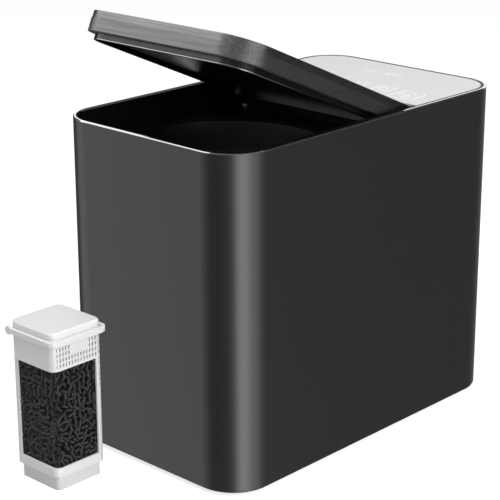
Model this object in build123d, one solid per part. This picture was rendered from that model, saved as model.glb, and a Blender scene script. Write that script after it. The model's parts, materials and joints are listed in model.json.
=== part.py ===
from build123d import *
from math import acos, cos, pi, radians, sin, sqrt, tan
import os

os.makedirs("parts", exist_ok=True)

# Countertop electric food waste composter with its filter cartridge beside it.
# Millimetres, +Z up, front at -Y. Places are given from the middle of the machine, and save() moves
# each piece by SET_Y, so that the origin is on the floor under the middle of the whole set.

# ---- outer body ----
WIDTH = 217.0
DEPTH = 366.4
SHELL_H = 300.0
CORNER_R = 38.0
SHELL_WALL = 2.5
RIM_BEVEL = 0.8
FOOT_H = 4.0
FOOT_R = 9.0
FOOT_STUB_R = 3.0
FOOT_STUB_H = 2.5
FOOT_X_IN = 30.5
FOOT_Y_IN = 35.2
BASE_LIP = 1.5
BASE_LIP_INSET = 0.8
BASE_PLUG = 3.0
FIT = 0.3
RUN_FIT = 0.05
SCREW_FIT = 0.05
GAP = 0.6

# ---- lid and hinge, measured with the lid closed ----
LID_ANGLE = 23.84
LID_T = 18.1
LID_SIDE = 8.5
LID_FRONT_GAP = 0.7
LID_CORNER_R = 30.0
LID_WALL = 2.5
LID_SKIN = 2.0
LID_TOP_T = 6.2
LID_TOP_INSET = 0.6
LID_TOP_WALL = 2.6
LID_TOP_SKIN = 2.2
LINER_INSET = 7.0
LINER_DROP = 6.0
LINER_WALL = 2.0
LINER_RECESS = 4.0
LINER_REAR_R = 8.0
GASKET_W = 3.6
GASKET_H = 4.5
HINGE_BACK = 47.2
BARREL_R = 6.0
PIN_R = 2.0
PIN_L = 32.0
PIN_END_IN = 2.0
KNUCKLE_IN = 18.0
KNUCKLE_W = 12.0
KNUCKLE_R = 5.4
WASHER_T = 1.2
WASHER_R = 5.0
MAGNET_R = 4.0
MAGNET_H = 4.0
MAGNET_X_IN = 30.0
MAGNET_Y_IN = 23.2
SENSOR_W = 14.0
SENSOR_D = 5.0
SENSOR_H = 4.0
SLOT_GAP = 3.0

# ---- deck and panel tray ----
DECK_BELOW_SKIRT = 0.7
DECK_LEDGE_T = 10.7
DECK_FLOOR_T = 3.5
LIP_CLEAR = 1.3
RAIL_FRONT_IN = 23.2
VENT_SLOT_W = 3.0
VENT_SLOTS = 6
VENT_PITCH = 8.5
PANEL_T = 3.0
PANEL_DROP = 0.2
PANEL_GAP = 1.2
TRAY_FLOOR_T = 2.0
TRAY_WALL = 2.0
TRAY_H = 8.5
POST_R = 5.0
POST_X_IN = 24.5
DECK_POST_FRONT_IN = 29.2
DECK_POST_BACK = 29.0
TRAY_POST_X_IN = 26.5
TRAY_POST_HINGE_GAP = 18.8
TRAY_POST_REAR_IN = 28.2
SCREW_R = 1.6
SCREW_HEAD_R = 3.4
SCREW_HEAD_H = 1.8
SCREW_L = 10.0

# ---- chamber, bucket and agitator ----
BUCKET_SIDE = 24.5
BUCKET_FRONT = 19.2
BUCKET_WALL = 2.0
BUCKET_FLOOR = 3.0
BUCKET_TOP_DROP = 57.5
BUCKET_FLANGE_W = 4.4
BUCKET_FLANGE_T = 3.0
BUCKET_BOSS_R = 20.0
BUCKET_BOSS_H = 17.5
EAR_T = 1.5
EAR_W = 9.0
HANDLE_ROD_R = 2.5
HANDLE_EYE_R = 3.0
HANDLE_IN = 0.5
LINER_GAP = 6.0
LINER_T = 1.5
LINER_FLANGE_W = 3.5
LINER_FLANGE_T = 2.0
CHAMBER_Z = 52.0
SHAFT_HOLE_R = 17.0
SLEEVE_GAP = 0.5
SLEEVE_T = 4.0
SLEEVE_Z0 = 60.0
SLEEVE_TOP_DROP = 37.5
ELEMENT_RING_IN = 24.0
ELEMENT_R = 3.5
HEATER_T = 5.7
HEATER_OUT = 4.0
HEATER_RIM_W = 5.0
THERMOSTAT_R = 8.0
THERMOSTAT_H = 7.0
SENSOR_RING_IN = 14.0
FUSE_R = 2.5
FUSE_L = 16.0
RING_W = 12.0
RING_T = 2.0
LEG_W = 10.0
LEG_IN = 2.0
LEG_DY = 44.0
SENSOR_DY = 40.0
AGITATOR_SHAFT_R = 9.0
BUSH_R = 13.0
SEAL_H = 4.0
HUB_R = 22.0
HUB_H = 42.0
HUB_GAP = 0.5
ARM_W = 14.0
ARM_T = 10.0
ARM_LIFT = 4.0
ARM_STEP = 22.0
ARM_END_GAP = 4.0
TIP_L = 14.0
TIP_DROP = 16.0
NUT_R = 12.0
NUT_H = 8.0
BLADE_W = 8.0
BLADE_T = 6.0
BLADE_CLEAR = 3.0
BLADE_ANGLES = (45.0, 225.0)
SOCKET_R = 12.5
SOCKET_H = 11.0
DOG_FLATS = 12.0
DOG_H = 7.0

# ---- drive ----
WIDTH_IN_MODULES = 108.5
PRESSURE = 20.0
BACKLASH = 0.3
ADDENDUM = 0.9
DEDENDUM = 1.25
OUTPUT_TEETH = 52
SMALL_TEETH = 16
LARGE_TEETH = 42
PINION_TEETH = 16
GEAR_W = 8.0
GEAR_GAP = 2.0
GEAR_FLOOR_GAP = 2.5
OUTPUT_SHAFT_R = 6.0
OUTPUT_HUB_R = 14.0
IDLER_AXLE_R = 4.0
MOTOR_SHAFT_R = 3.0
MOTOR_R = 26.0
MOTOR_H = 66.0
MOTOR_CAP_R = 18.0
MOTOR_CAP_H = 5.0
HOUSING_FLOOR = 3.0
HOUSING_WALL = 2.5
HOUSING_CLEAR = 2.5
HOUSING_H = 26.5
COVER_T = 3.0
BEARING_R = 10.0
BEARING_H = 4.0
BEARING_BOSS_W = 3.0
LUG_R = 4.5
LUG_OUT = 2.0
BEARING_SEAT = 1.0

# ---- air path and filter bay ----
BAY_X_IN = 73.5
BAY_W = 68.0
BAY_WALL = 2.0
BAY_Z0 = 98.0
BAY_TOP_DROP = 51.5
FAN_SIZE = 60.0
FAN_T = 25.0
FAN_BACK = 82.0
FAN_DROP = 76.0
FAN_BORE_R = 28.5
FAN_TIP_GAP = 0.8
FAN_HUB_R = 13.0
FAN_PLATE_T = 3.0
FAN_BLADES = 7
FAN_BLADE_T = 1.6
FAN_BLADE_PITCH = 35.0
FAN_AXLE_R = 1.5
FAN_HOLE_PITCH = 50.0
FAN_STRUT_W = 4.0
DUCT_W = 62.0
DUCT_BACK = 18.0
DUCT_D = 28.0
DUCT_WALL = 2.0
DUCT_DROP = 32.0
DUCT_LEG_H = 64.0

# ---- rear door ----
DOOR_GAP = 0.5
DOOR_T = 2.5
DOOR_KNUCKLE_R = 4.0
DOOR_PIN_R = 1.0
DOOR_PIN_L = 5.0
DOOR_SLOT_W = 3.0
DOOR_SLOT_L = 44.0
DOOR_SLOTS = 12
DOOR_SLOT_PITCH = 9.0
FRAME_W = 5.0
FRAME_LAP = 2.0
PIN_INSET = 1.0

# ---- electrics ----
INLET_X_IN = 68.5
INLET_Z = 35.0
INLET_W = 27.0
INLET_H = 20.0
INLET_D = 22.0
INLET_FLANGE_W = 4.0
INLET_FLANGE_T = 1.5
INLET_PIN_W = 4.0
INLET_PIN_T = 2.0
INLET_PIN_L = 15.0
INLET_PIN_PITCH = 7.0
INLET_WALL = 3.0
BOARD_X_IN = 48.5
BOARD_T = 1.6
BOARD_L = 75.0
BOARD_REAR_IN = 33.2
BOARD_Z0 = 30.0
BOARD_Z1 = 150.0
BRACKET_T = 2.0
BRACKET_FOOT = 9.0
BRACKET_GAP = 3.0
STANDOFF_R = 3.0
STANDOFF_INSET = 6.0
COIL_H = 30.0
COIL_W = 34.0
RELAYS = 3
RELAY_W = 16.0
RELAY_H = 14.0
CAPACITOR_R = 6.0
CAPACITOR_H = 20.0
PART_GAP = 4.0
DISPLAY_SIDE = 48.5
DISPLAY_D = 60.0
DISPLAY_T = 1.6
DISPLAY_BACK = 52.8
DISPLAY_LIFT = 1.5
TOUCH_R = 4.0
TOUCH_PITCH = 24.0
TOUCH_KEYS = 4
TOUCH_BACK = 32.8

# ---- filter cartridge, standing on the floor in front ----
CART_X_IN = 61.5
CART_AWAY = 59.8
CART_W = 56.0
CART_R = 7.0
CART_WALL = 1.8
CUP_INSET = 3.0
CUP_R = 5.0
CUP_H = 13.5
CUP_WALL = 2.0
CART_TOP = 141.0
CAP_H = 5.5
CAP_BEVEL = 1.5
CAP_PLUG_H = 4.0
WINDOW_Z0 = 22.0
WINDOW_Z1 = 112.0
WINDOW_POST = 8.0
CARBON_Z1 = 122.0
CARBON_GAP = 0.5
GRID_SLOT_W = 1.4
GRID_SLOT_H = 3.6
GRID_COLS = 15
GRID_ROWS = 5
GRID_SIDE = 3.25
GRID_PITCH_Z = 5.0
GRID_TOP = 138.0
GRID_BLANK_ROWS = 3
GRID_BLANK_START = 5
GRID_BLANK_COLS = 6
EDGE_SLOTS = 11
REAR_SLOT_W = 2.0
REAR_SLOTS = 6
BAIL_Z = 138.0
BAIL_PIVOT_IN = 2.0
BAIL_W = 3.4
BAIL_H = 5.0
BAIL_GAP = 0.4
BAIL_BAR_GAP = 1.2
BAIL_EYE_R = 4.0
BAIL_PIN_R = 1.8
BAIL_CORNER_R = 8.0

# ---- derived places ----
SHELL_Z = FOOT_H + BASE_LIP
TOP = SHELL_Z + SHELL_H
INNER_X = WIDTH / 2 - SHELL_WALL
INNER_Y = DEPTH / 2 - SHELL_WALL
INNER_R = CORNER_R - SHELL_WALL
FOOT_X = WIDTH / 2 - FOOT_X_IN
FOOT_Y = DEPTH / 2 - FOOT_Y_IN
BUCKET_R = WIDTH / 2 - BUCKET_SIDE
BUCKET_Y = -DEPTH / 2 + BUCKET_FRONT + BUCKET_R
BUCKET_BACK = BUCKET_Y + BUCKET_R
BUCKET_TOP = TOP - BUCKET_TOP_DROP
SLEEVE_Z1 = TOP - SLEEVE_TOP_DROP
HANDLE_PATH_R = BUCKET_R - HANDLE_IN
LINER_R = BUCKET_R + BUCKET_WALL + LINER_GAP
ELEMENT_RING_R = BUCKET_R - ELEMENT_RING_IN
SENSOR_RING_R = ELEMENT_RING_R - SENSOR_RING_IN
HEATER_R = BUCKET_R + HEATER_OUT
LEG_X = BUCKET_R - LEG_IN
ARM_REACH = BUCKET_R - ARM_END_GAP
HINGE_Y = BUCKET_BACK + HINGE_BACK
LID_W = WIDTH - 2 * LID_SIDE
PIN_OUT = LID_W / 2 - PIN_END_IN
PIN_IN = PIN_OUT - PIN_L
KNUCKLE_X = LID_W / 2 - KNUCKLE_IN
MAGNET_X = LID_W / 2 - MAGNET_X_IN
MAGNET_Y = -DEPTH / 2 + MAGNET_Y_IN
RAIL_FRONT_Y = -DEPTH / 2 + RAIL_FRONT_IN
POST_X = WIDTH / 2 - POST_X_IN
DECK_POST_FRONT_Y = -DEPTH / 2 + DECK_POST_FRONT_IN
DECK_POST_REAR_Y = BUCKET_BACK + DECK_POST_BACK
TRAY_POST_X = WIDTH / 2 - TRAY_POST_X_IN
TRAY_POST_FRONT_Y = HINGE_Y + TRAY_POST_HINGE_GAP
TRAY_POST_REAR_Y = DEPTH / 2 - TRAY_POST_REAR_IN
BAY_X = -WIDTH / 2 + BAY_X_IN
BAY_Z1 = TOP - BAY_TOP_DROP
FAN_Z = BAY_Z1 - FAN_DROP
FAN_Y = BUCKET_BACK + FAN_BACK
DUCT_Y0 = BUCKET_BACK + DUCT_BACK
DUCT_Z0 = FAN_Z - DUCT_DROP
INLET_X = WIDTH / 2 - INLET_X_IN
BOARD_X = WIDTH / 2 - BOARD_X_IN
BOARD_Y1 = DEPTH / 2 - BOARD_REAR_IN
BOARD_Y0 = BOARD_Y1 - BOARD_L
DISPLAY_W = WIDTH - 2 * DISPLAY_SIDE
DISPLAY_Y = HINGE_Y + DISPLAY_BACK
TOUCH_Y = HINGE_Y + TOUCH_BACK
CART_X = -WIDTH / 2 + CART_X_IN
CART_Y = -DEPTH / 2 - CART_AWAY
BASE_TOP = SHELL_Z + BASE_PLUG
BASE_SEAT = FOOT_H + SCREW_HEAD_H + FIT
HINGE_Z = TOP - BARREL_R
SKIRT_Z = TOP - LID_T
LIP_Z = SKIRT_Z - LINER_DROP
PLATE_Z = LIP_Z + LINER_RECESS
MAGNET_Z = PLATE_Z + LINER_WALL
LID_FRONT = -(INNER_Y - LID_FRONT_GAP)
TOP_PANEL_Z = TOP - LID_TOP_T
TOP_PANEL_REAR = HINGE_Y - BARREL_R - 2 * GAP
SKIN_Z = TOP_PANEL_Z - LID_SKIN
SLOT_Y = HINGE_Y - BARREL_R - SLOT_GAP
LINER_REAR = SLOT_Y - LID_WALL - GASKET_W - FIT
LEDGE_Z = SKIRT_Z - DECK_BELOW_SKIRT
DECK_Z = LEDGE_Z - DECK_LEDGE_T
DECK_FLOOR_Z = DECK_Z + DECK_FLOOR_T
DECK_REAR = HINGE_Y + BARREL_R - FIT
TRAY_FRONT = HINGE_Y + BARREL_R + GAP
PANEL_TOP = TOP - PANEL_DROP
PANEL_Z = PANEL_TOP - PANEL_T
TRAY_Z = PANEL_Z - TRAY_H
TRAY_FLOOR_Z = TRAY_Z + TRAY_FLOOR_T
DISPLAY_Z = TRAY_FLOOR_Z + DISPLAY_LIFT
RECESS_HALF = LID_W / 2 - LINER_INSET + LIP_CLEAR
RECESS_FRONT = LID_FRONT + LINER_INSET - LIP_CLEAR
RECESS_R = LID_CORNER_R - LINER_INSET + LIP_CLEAR
BRACKET_SCREW_Y = HINGE_Y - SCREW_HEAD_R - FIT
HEATER_Z = CHAMBER_Z + LINER_T + 2 * ELEMENT_R
BUCKET_Z = HEATER_Z + HEATER_T + FIT
BUCKET_IN_Z = BUCKET_Z + BUCKET_FLOOR
BOSS_TOP = BUCKET_Z + BUCKET_BOSS_H
HUB_Z = BOSS_TOP + HUB_GAP
ARM_Z = HUB_Z + ARM_LIFT
SOCKET_TOP = BUCKET_Z - FIT
SOCKET_Z = SOCKET_TOP - SOCKET_H
SOCKET_ROOF_Z = SOCKET_Z + DOG_H + FIT
DOG_Z = SOCKET_Z - HUB_GAP
EAR_X = HANDLE_PATH_R + HANDLE_EYE_R + 2 * FIT
HANDLE_Z = BUCKET_TOP + HANDLE_EYE_R + FIT
HOUSING_Z = BASE_TOP
HOUSING_TOP = HOUSING_Z + HOUSING_H
COVER_TOP = HOUSING_TOP + COVER_T
GEAR_A_Z = HOUSING_Z + HOUSING_FLOOR + GEAR_FLOOR_GAP
GEAR_B_Z = GEAR_A_Z + GEAR_W + GEAR_GAP
MODULE = WIDTH / WIDTH_IN_MODULES
OUTPUT_R = MODULE * OUTPUT_TEETH / 2
SMALL_R = MODULE * SMALL_TEETH / 2
LARGE_R = MODULE * LARGE_TEETH / 2
PINION_R = MODULE * PINION_TEETH / 2
IDLER_Y = BUCKET_Y + OUTPUT_R + SMALL_R
MOTOR_Y = IDLER_Y + LARGE_R + PINION_R
LOW_BEARING_Z = HOUSING_Z + BEARING_SEAT
BAY_FRONT = FAN_Y + FAN_T
DOOR_X0 = BAY_X - BAY_W / 2
DOOR_X1 = BAY_X + BAY_W / 2
DOOR_HINGE_X = DOOR_X1 - DOOR_KNUCKLE_R
DOOR_HINGE_Y = DEPTH / 2 - DOOR_KNUCKLE_R
BAY_REAR = DOOR_HINGE_Y - DOOR_KNUCKLE_R - FIT
CUP_W = CART_W - 2 * CUP_INSET
GRID_PITCH_X = (CART_W - 2 * GRID_SIDE) / GRID_COLS
REAR_SLOT_PITCH = CART_W / (REAR_SLOTS + 2)
BAIL_X = CART_X - CART_W / 2 + BAIL_PIVOT_IN
BAIL_IN = CART_W / 2 + BAIL_GAP
BAIL_OUT = BAIL_IN + BAIL_W
SET_FRONT = CART_Y - BAIL_OUT
SET_REAR = DEPTH / 2 + INLET_FLANGE_T
SET_Y = -(SET_FRONT + SET_REAR) / 2


# ---- helpers ----
def block(x0, x1, y0, y1, z0, z1):
    """Box between two corners."""
    size = Box(x1 - x0, y1 - y0, z1 - z0, align=(Align.MIN, Align.MIN, Align.MIN))
    return Pos(x0, y0, z0) * size


def rod(radius, z0, z1, x=0, y=0):
    """Vertical round bar."""
    return Pos(x, y, z0) * Cylinder(radius, z1 - z0, align=(Align.CENTER, Align.CENTER, Align.MIN))


def ring(outer, inner, z0, z1, x=0, y=0):
    """Vertical round tube."""
    return rod(outer, z0, z1, x, y) - rod(inner, z0, z1, x, y)


def x_rod(radius, x0, x1, y, z):
    """Round bar along X."""
    return Pos((x0 + x1) / 2, y, z) * (Rot(0, 90, 0) * Cylinder(radius, x1 - x0))


def y_rod(radius, y0, y1, x, z):
    """Round bar along Y."""
    return Pos(x, (y0 + y1) / 2, z) * (Rot(90, 0, 0) * Cylinder(radius, y1 - y0))


def prism(sketch, z0, z1):
    """Sketch in the XY plane, raised from z0 to z1."""
    return Pos(0, 0, z0) * extrude(sketch, z1 - z0)


def body_outline(inset):
    """The machine's rounded outline, moved inwards."""
    return RectangleRounded(WIDTH - 2 * inset, DEPTH - 2 * inset, CORNER_R - inset)


def front_rounded(half, front, rear, radius):
    """Rectangle with its two front corners rounded."""
    length = rear - front
    whole = Pos(0, (front + rear) / 2) * RectangleRounded(2 * half, length, radius)
    square = Pos(0, rear - length / 4) * Rectangle(2 * half, length / 2)
    return whole + square


def lid_outline(inset, rear):
    """The lid's outline when closed, moved inwards."""
    return front_rounded(LID_W / 2 - inset, LID_FRONT + inset, rear, LID_CORNER_R - inset)


def opened(shape):
    """Turn a lid piece from its closed place to where it rests, part open."""
    hinge = Pos(0, HINGE_Y, HINGE_Z)
    return hinge * (Rot(-LID_ANGLE, 0, 0) * (hinge.inverse() * shape))


def mirrored(shape):
    """The shape and its twin across the middle plane."""
    return [shape, mirror(shape, Plane.YZ)]


def at_posts(make):
    """One copy of a post-mounted thing at each deck post and each tray post."""
    deck = [make(s * POST_X, y) for s in (-1, 1) for y in (DECK_POST_FRONT_Y, DECK_POST_REAR_Y)]
    tray = [make(s * TRAY_POST_X, y) for s in (-1, 1) for y in (TRAY_POST_FRONT_Y, TRAY_POST_REAR_Y)]
    return deck, tray


def screw(x, y, seat, up):
    """Pan head screw. up is 1 when its head is above the seat, -1 when below."""
    head = sorted((seat, seat + up * SCREW_HEAD_H))
    shank = sorted((seat, seat - up * SCREW_L))
    return rod(SCREW_HEAD_R, *head, x, y) + rod(SCREW_R, *shank, x, y)


def save(name, shape):
    """Write one node, as separate solids when it is a group."""
    pieces = shape if isinstance(shape, list) else [shape]
    solids = [Pos(0, SET_Y) * solid for piece in pieces for solid in piece.solids()]
    export_step(solids[0] if len(solids) == 1 else Compound(children=solids), f"parts/{name}.step")


def involute(angle):
    return tan(angle) - angle


def gear_outline(teeth, first_tooth):
    """Involute gear outline. first_tooth is the angle of one tooth's middle, in degrees."""
    pitch_r = MODULE * teeth / 2
    base_r = pitch_r * cos(radians(PRESSURE))
    tip_r = pitch_r + ADDENDUM * MODULE
    root_r = pitch_r - DEDENDUM * MODULE
    half = pi / (2 * teeth) - BACKLASH / (4 * pitch_r) + involute(radians(PRESSURE))
    low = max(base_r, root_r)
    flank = [(r, half - involute(acos(base_r / r))) for r in (low, (low + tip_r) / 2, tip_r)]
    side = flank if root_r >= base_r else [(root_r, flank[0][1])] + flank
    points = []
    for k in range(teeth):
        middle = radians(first_tooth) + 2 * pi * k / teeth
        for r, a in side:
            points.append((r * cos(middle - a), r * sin(middle - a)))
        for r, a in reversed(side):
            points.append((r * cos(middle + a), r * sin(middle + a)))
    return make_face(Polyline(*points, close=True))


def gear(teeth, first_tooth, bore, z, y):
    outline = Pos(0, y) * gear_outline(teeth, first_tooth)
    return prism(outline, z, z + GEAR_W) - rod(bore, z, z + GEAR_W, 0, y)


# ---- outer body ----
def door_opening(y0, y1):
    return block(DOOR_X0 - DOOR_GAP, DOOR_X1 + DOOR_GAP, y0, y1, BAY_Z0, BAY_Z1)


def inlet_block(grow, y0, y1):
    """The power inlet's outline, grown on every side."""
    half_w = INLET_W / 2 + grow
    half_h = INLET_H / 2 + grow
    return block(INLET_X - half_w, INLET_X + half_w, y0, y1, INLET_Z - half_h, INLET_Z + half_h)


def door_pin_ends():
    """Lower and upper ends of the two door pins."""
    low = BAY_Z0 - FRAME_W + PIN_INSET
    high = BAY_Z1 + FRAME_W - PIN_INSET
    return [(low, BAY_Z0 + DOOR_PIN_L), (BAY_Z1 - DOOR_PIN_L, high)]


def door_pins():
    return [rod(DOOR_PIN_R, z0, z1, DOOR_HINGE_X, DOOR_HINGE_Y) for z0, z1 in door_pin_ends()]


def outer_shell():
    shell = prism(body_outline(0), SHELL_Z, TOP)
    shell = chamfer(shell.faces().sort_by(Axis.Z)[-1].edges(), RIM_BEVEL)
    shell -= prism(body_outline(SHELL_WALL), SHELL_Z, TOP)
    x0 = DOOR_X0 - DOOR_GAP - FRAME_W
    x1 = DOOR_X1 + DOOR_GAP + FRAME_W
    shell += block(x0, x1, BAY_REAR - FRAME_LAP, INNER_Y, BAY_Z0 - FRAME_W, BAY_Z1 + FRAME_W)
    shell -= door_opening(BAY_REAR - FRAME_LAP, DEPTH / 2)
    shell -= inlet_block(FIT, INNER_Y, DEPTH / 2)
    return shell - door_pins()


def foot_places():
    return [(sx * FOOT_X, sy * FOOT_Y) for sx in (-1, 1) for sy in (-1, 1)]


def base_screw_hole(x, y):
    return rod(SCREW_HEAD_R + FIT, FOOT_H, BASE_SEAT, x, y) + rod(SCREW_R + FIT, BASE_SEAT, BASE_TOP, x, y)


def base_plate():
    plate = prism(body_outline(BASE_LIP_INSET), FOOT_H, SHELL_Z)
    plate += prism(body_outline(SHELL_WALL + FIT), SHELL_Z, BASE_TOP)
    plate -= [rod(FOOT_STUB_R, FOOT_H, FOOT_H + FOOT_STUB_H, x, y) for x, y in foot_places()]
    deck, tray = at_posts(base_screw_hole)
    return plate - deck - tray


def rubber_feet():
    feet = []
    for x, y in foot_places():
        feet.append(rod(FOOT_R, 0, FOOT_H, x, y) + rod(FOOT_STUB_R, FOOT_H, FOOT_H + FOOT_STUB_H, x, y))
    return feet


# ---- posts and screws ----
def post(x, y, top):
    hole = SCREW_R + SCREW_FIT
    bar = rod(POST_R, BASE_TOP, top, x, y)
    return bar - rod(hole, BASE_TOP, BASE_TOP + SCREW_L, x, y) - rod(hole, top - SCREW_L, top, x, y)


def case_posts():
    deck = at_posts(lambda x, y: post(x, y, DECK_Z))[0]
    tray = at_posts(lambda x, y: post(x, y, TRAY_Z))[1]
    return deck + tray


def case_screws():
    deck_low, tray_low = at_posts(lambda x, y: screw(x, y, BASE_SEAT, -1))
    deck_high = at_posts(lambda x, y: screw(x, y, DECK_FLOOR_Z, 1))[0]
    tray_high = at_posts(lambda x, y: screw(x, y, TRAY_Z + TRAY_FLOOR_T, 1))[1]
    return deck_low + tray_low + deck_high + tray_high


def small_screws():
    """The screws of the gearbox cover, the hinge brackets and the fan."""
    gearbox = [screw(x, y, COVER_TOP, 1) for x, y in housing_screw_places()]
    hinge = [screw(s * KNUCKLE_X, BRACKET_SCREW_Y, LEDGE_Z + BRACKET_T, 1) for s in (-1, 1)]
    fan = []
    for x, z in fan_holes():
        head = y_rod(SCREW_HEAD_R, FAN_Y - SCREW_HEAD_H, FAN_Y, x, z)
        fan.append(head + y_rod(SCREW_R, FAN_Y, BAY_FRONT + BAY_WALL, x, z))
    return gearbox + hinge + fan


# ---- deck under the lid ----
def deck_outline(rear):
    """The space inside the shell, from its front to a given rear edge."""
    return front_rounded(INNER_X - FIT, -INNER_Y + FIT, rear, INNER_R - FIT)


def chamber_deck():
    recess = front_rounded(RECESS_HALF, RECESS_FRONT, LINER_REAR + LIP_CLEAR, RECESS_R)
    deck = prism(deck_outline(DECK_REAR), DECK_Z, LEDGE_Z) - prism(recess, DECK_FLOOR_Z, LEDGE_Z)
    rails = prism(deck_outline(DECK_REAR) - lid_outline(-GAP, TRAY_FRONT), LEDGE_Z, PANEL_TOP)
    deck += rails - block(-WIDTH, WIDTH, -DEPTH, RAIL_FRONT_Y, LEDGE_Z, PANEL_TOP)
    deck -= rod(LINER_R, DECK_Z, LEDGE_Z, 0, BUCKET_Y)
    for k in range(VENT_SLOTS):
        x = BAY_X + (k - (VENT_SLOTS - 1) / 2) * VENT_PITCH
        front = DUCT_Y0 + DUCT_WALL + GAP
        deck -= block(x - VENT_SLOT_W / 2, x + VENT_SLOT_W / 2, front, LINER_REAR, DECK_Z, DECK_FLOOR_Z)
    deck -= at_posts(lambda x, y: rod(SCREW_R + FIT, DECK_Z, DECK_FLOOR_Z, x, y))[0]
    depth = SCREW_L - BRACKET_T
    for side in (-1, 1):
        deck -= rod(SCREW_R + SCREW_FIT, LEDGE_Z - depth, LEDGE_Z, side * KNUCKLE_X, BRACKET_SCREW_Y)
    return deck


def lid_sensor():
    """Box that feels the lid magnet from below the deck."""
    x0 = MAGNET_X - SENSOR_W / 2
    y0 = MAGNET_Y - SENSOR_D / 2
    return block(x0, x0 + SENSOR_W, y0, y0 + SENSOR_D, DECK_Z - SENSOR_H, DECK_Z)


# ---- hinge ----
def hinge_brackets():
    brackets = []
    for side in (-1, 1):
        x = side * KNUCKLE_X
        x0 = x - KNUCKLE_W / 2
        x1 = x + KNUCKLE_W / 2
        front = BRACKET_SCREW_Y - SCREW_HEAD_R - FIT
        bracket = block(x0, x1, front, HINGE_Y + KNUCKLE_R, LEDGE_Z, LEDGE_Z + BRACKET_T)
        bracket += block(x0, x1, HINGE_Y, HINGE_Y + KNUCKLE_R, LEDGE_Z, HINGE_Z)
        bracket += x_rod(KNUCKLE_R, x0, x1, HINGE_Y, HINGE_Z)
        bracket -= x_rod(PIN_R, x0, x1, HINGE_Y, HINGE_Z)
        bracket -= rod(SCREW_R + FIT, LEDGE_Z, LEDGE_Z + BRACKET_T, x, BRACKET_SCREW_Y)
        brackets.append(bracket)
    return brackets


def hinge_pins():
    return mirrored(x_rod(PIN_R, PIN_IN, PIN_OUT, HINGE_Y, HINGE_Z))


def friction_washers():
    washers = []
    for near in (KNUCKLE_X - KNUCKLE_W / 2 - WASHER_T, KNUCKLE_X + KNUCKLE_W / 2):
        far = near + WASHER_T
        disc = x_rod(WASHER_R, near, far, HINGE_Y, HINGE_Z)
        washers += mirrored(disc - x_rod(PIN_R, near, far, HINGE_Y, HINGE_Z))
    return washers


# ---- lid, drawn closed and then opened ----
def lid_cover():
    half = LID_W / 2
    cover = prism(lid_outline(0, SLOT_Y), SKIRT_Z, TOP_PANEL_Z)
    cover -= prism(lid_outline(LID_WALL, SLOT_Y - LID_WALL), SKIRT_Z, SKIN_Z)
    cover += block(-half, half, SLOT_Y - LID_WALL, HINGE_Y, SKIN_Z, TOP_PANEL_Z)
    cover += block(-half, half, TOP_PANEL_REAR + FIT, HINGE_Y, TOP_PANEL_Z, TOP)
    cover += x_rod(BARREL_R, -half, half, HINGE_Y, HINGE_Z)
    slot = KNUCKLE_W / 2 + WASHER_T + FIT
    for side in (-1, 1):
        x = side * KNUCKLE_X
        cover -= block(x - slot, x + slot, SLOT_Y, HINGE_Y + BARREL_R, SKIRT_Z, TOP)
    return opened(cover - mirrored(x_rod(PIN_R + RUN_FIT, PIN_IN - FIT, PIN_OUT + FIT, HINGE_Y, HINGE_Z)))


def lid_top_panel():
    panel = prism(lid_outline(LID_TOP_INSET, TOP_PANEL_REAR), TOP_PANEL_Z, TOP)
    inner = LID_TOP_INSET + LID_TOP_WALL
    hollow = prism(lid_outline(inner, TOP_PANEL_REAR - LID_TOP_WALL), TOP_PANEL_Z, TOP - LID_TOP_SKIN)
    return opened(panel - hollow)


def liner_outline(inset):
    """The inner liner's outline, moved inwards."""
    half = LID_W / 2 - LINER_INSET - inset
    front = LID_FRONT + LINER_INSET + inset
    rear = LINER_REAR - inset
    front_part = front_rounded(half, front, rear, LID_CORNER_R - LINER_INSET - inset)
    rear_part = RectangleRounded(2 * half, rear - front, LINER_REAR_R - inset)
    return front_part & (Pos(0, (front + rear) / 2) * rear_part)


def lid_liner():
    liner = prism(liner_outline(0), LIP_Z, SKIN_Z)
    liner -= prism(liner_outline(LINER_WALL), LIP_Z, PLATE_Z)
    liner -= prism(liner_outline(LINER_WALL), MAGNET_Z, SKIN_Z)
    liner += rod(MAGNET_R + LINER_WALL, PLATE_Z, MAGNET_Z + MAGNET_H / 2, MAGNET_X, MAGNET_Y)
    return opened(liner - rod(MAGNET_R, MAGNET_Z, SKIN_Z, MAGNET_X, MAGNET_Y))


def lid_magnet():
    return opened(rod(MAGNET_R, MAGNET_Z, MAGNET_Z + MAGNET_H, MAGNET_X, MAGNET_Y))


def lid_gasket():
    z = LEDGE_Z + FIT
    return opened(prism(liner_outline(-GASKET_W) - liner_outline(0), z, z + GASKET_H))


# ---- control panel ----
def tray_outline(inset):
    """The control panel's place behind the lid, moved inwards."""
    half = INNER_X - FIT - inset
    rear = INNER_Y - FIT - inset
    outline = front_rounded(half, -rear, -TRAY_FRONT - inset, INNER_R - FIT - inset)
    return mirror(outline, Plane.XZ)


def display_corners():
    x = DISPLAY_W / 2 - STANDOFF_INSET
    y = DISPLAY_D / 2 - STANDOFF_INSET
    return [(sx * x, DISPLAY_Y + sy * y) for sx in (-1, 1) for sy in (-1, 1)]


def panel_tray():
    tray = prism(tray_outline(0), TRAY_Z, PANEL_Z) - prism(tray_outline(TRAY_WALL), TRAY_FLOOR_Z, PANEL_Z)
    tray -= at_posts(lambda x, y: rod(SCREW_R + FIT, TRAY_Z, TRAY_FLOOR_Z, x, y))[1]
    for x, y in display_corners():
        tray += rod(STANDOFF_R, TRAY_FLOOR_Z, DISPLAY_Z, x, y)
    return tray


def control_panel():
    return prism(tray_outline(PANEL_GAP - FIT), PANEL_Z, PANEL_TOP)


def display_board():
    x = DISPLAY_W / 2
    y0 = DISPLAY_Y - DISPLAY_D / 2
    return block(-x, x, y0, y0 + DISPLAY_D, DISPLAY_Z, DISPLAY_Z + DISPLAY_T)


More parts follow.
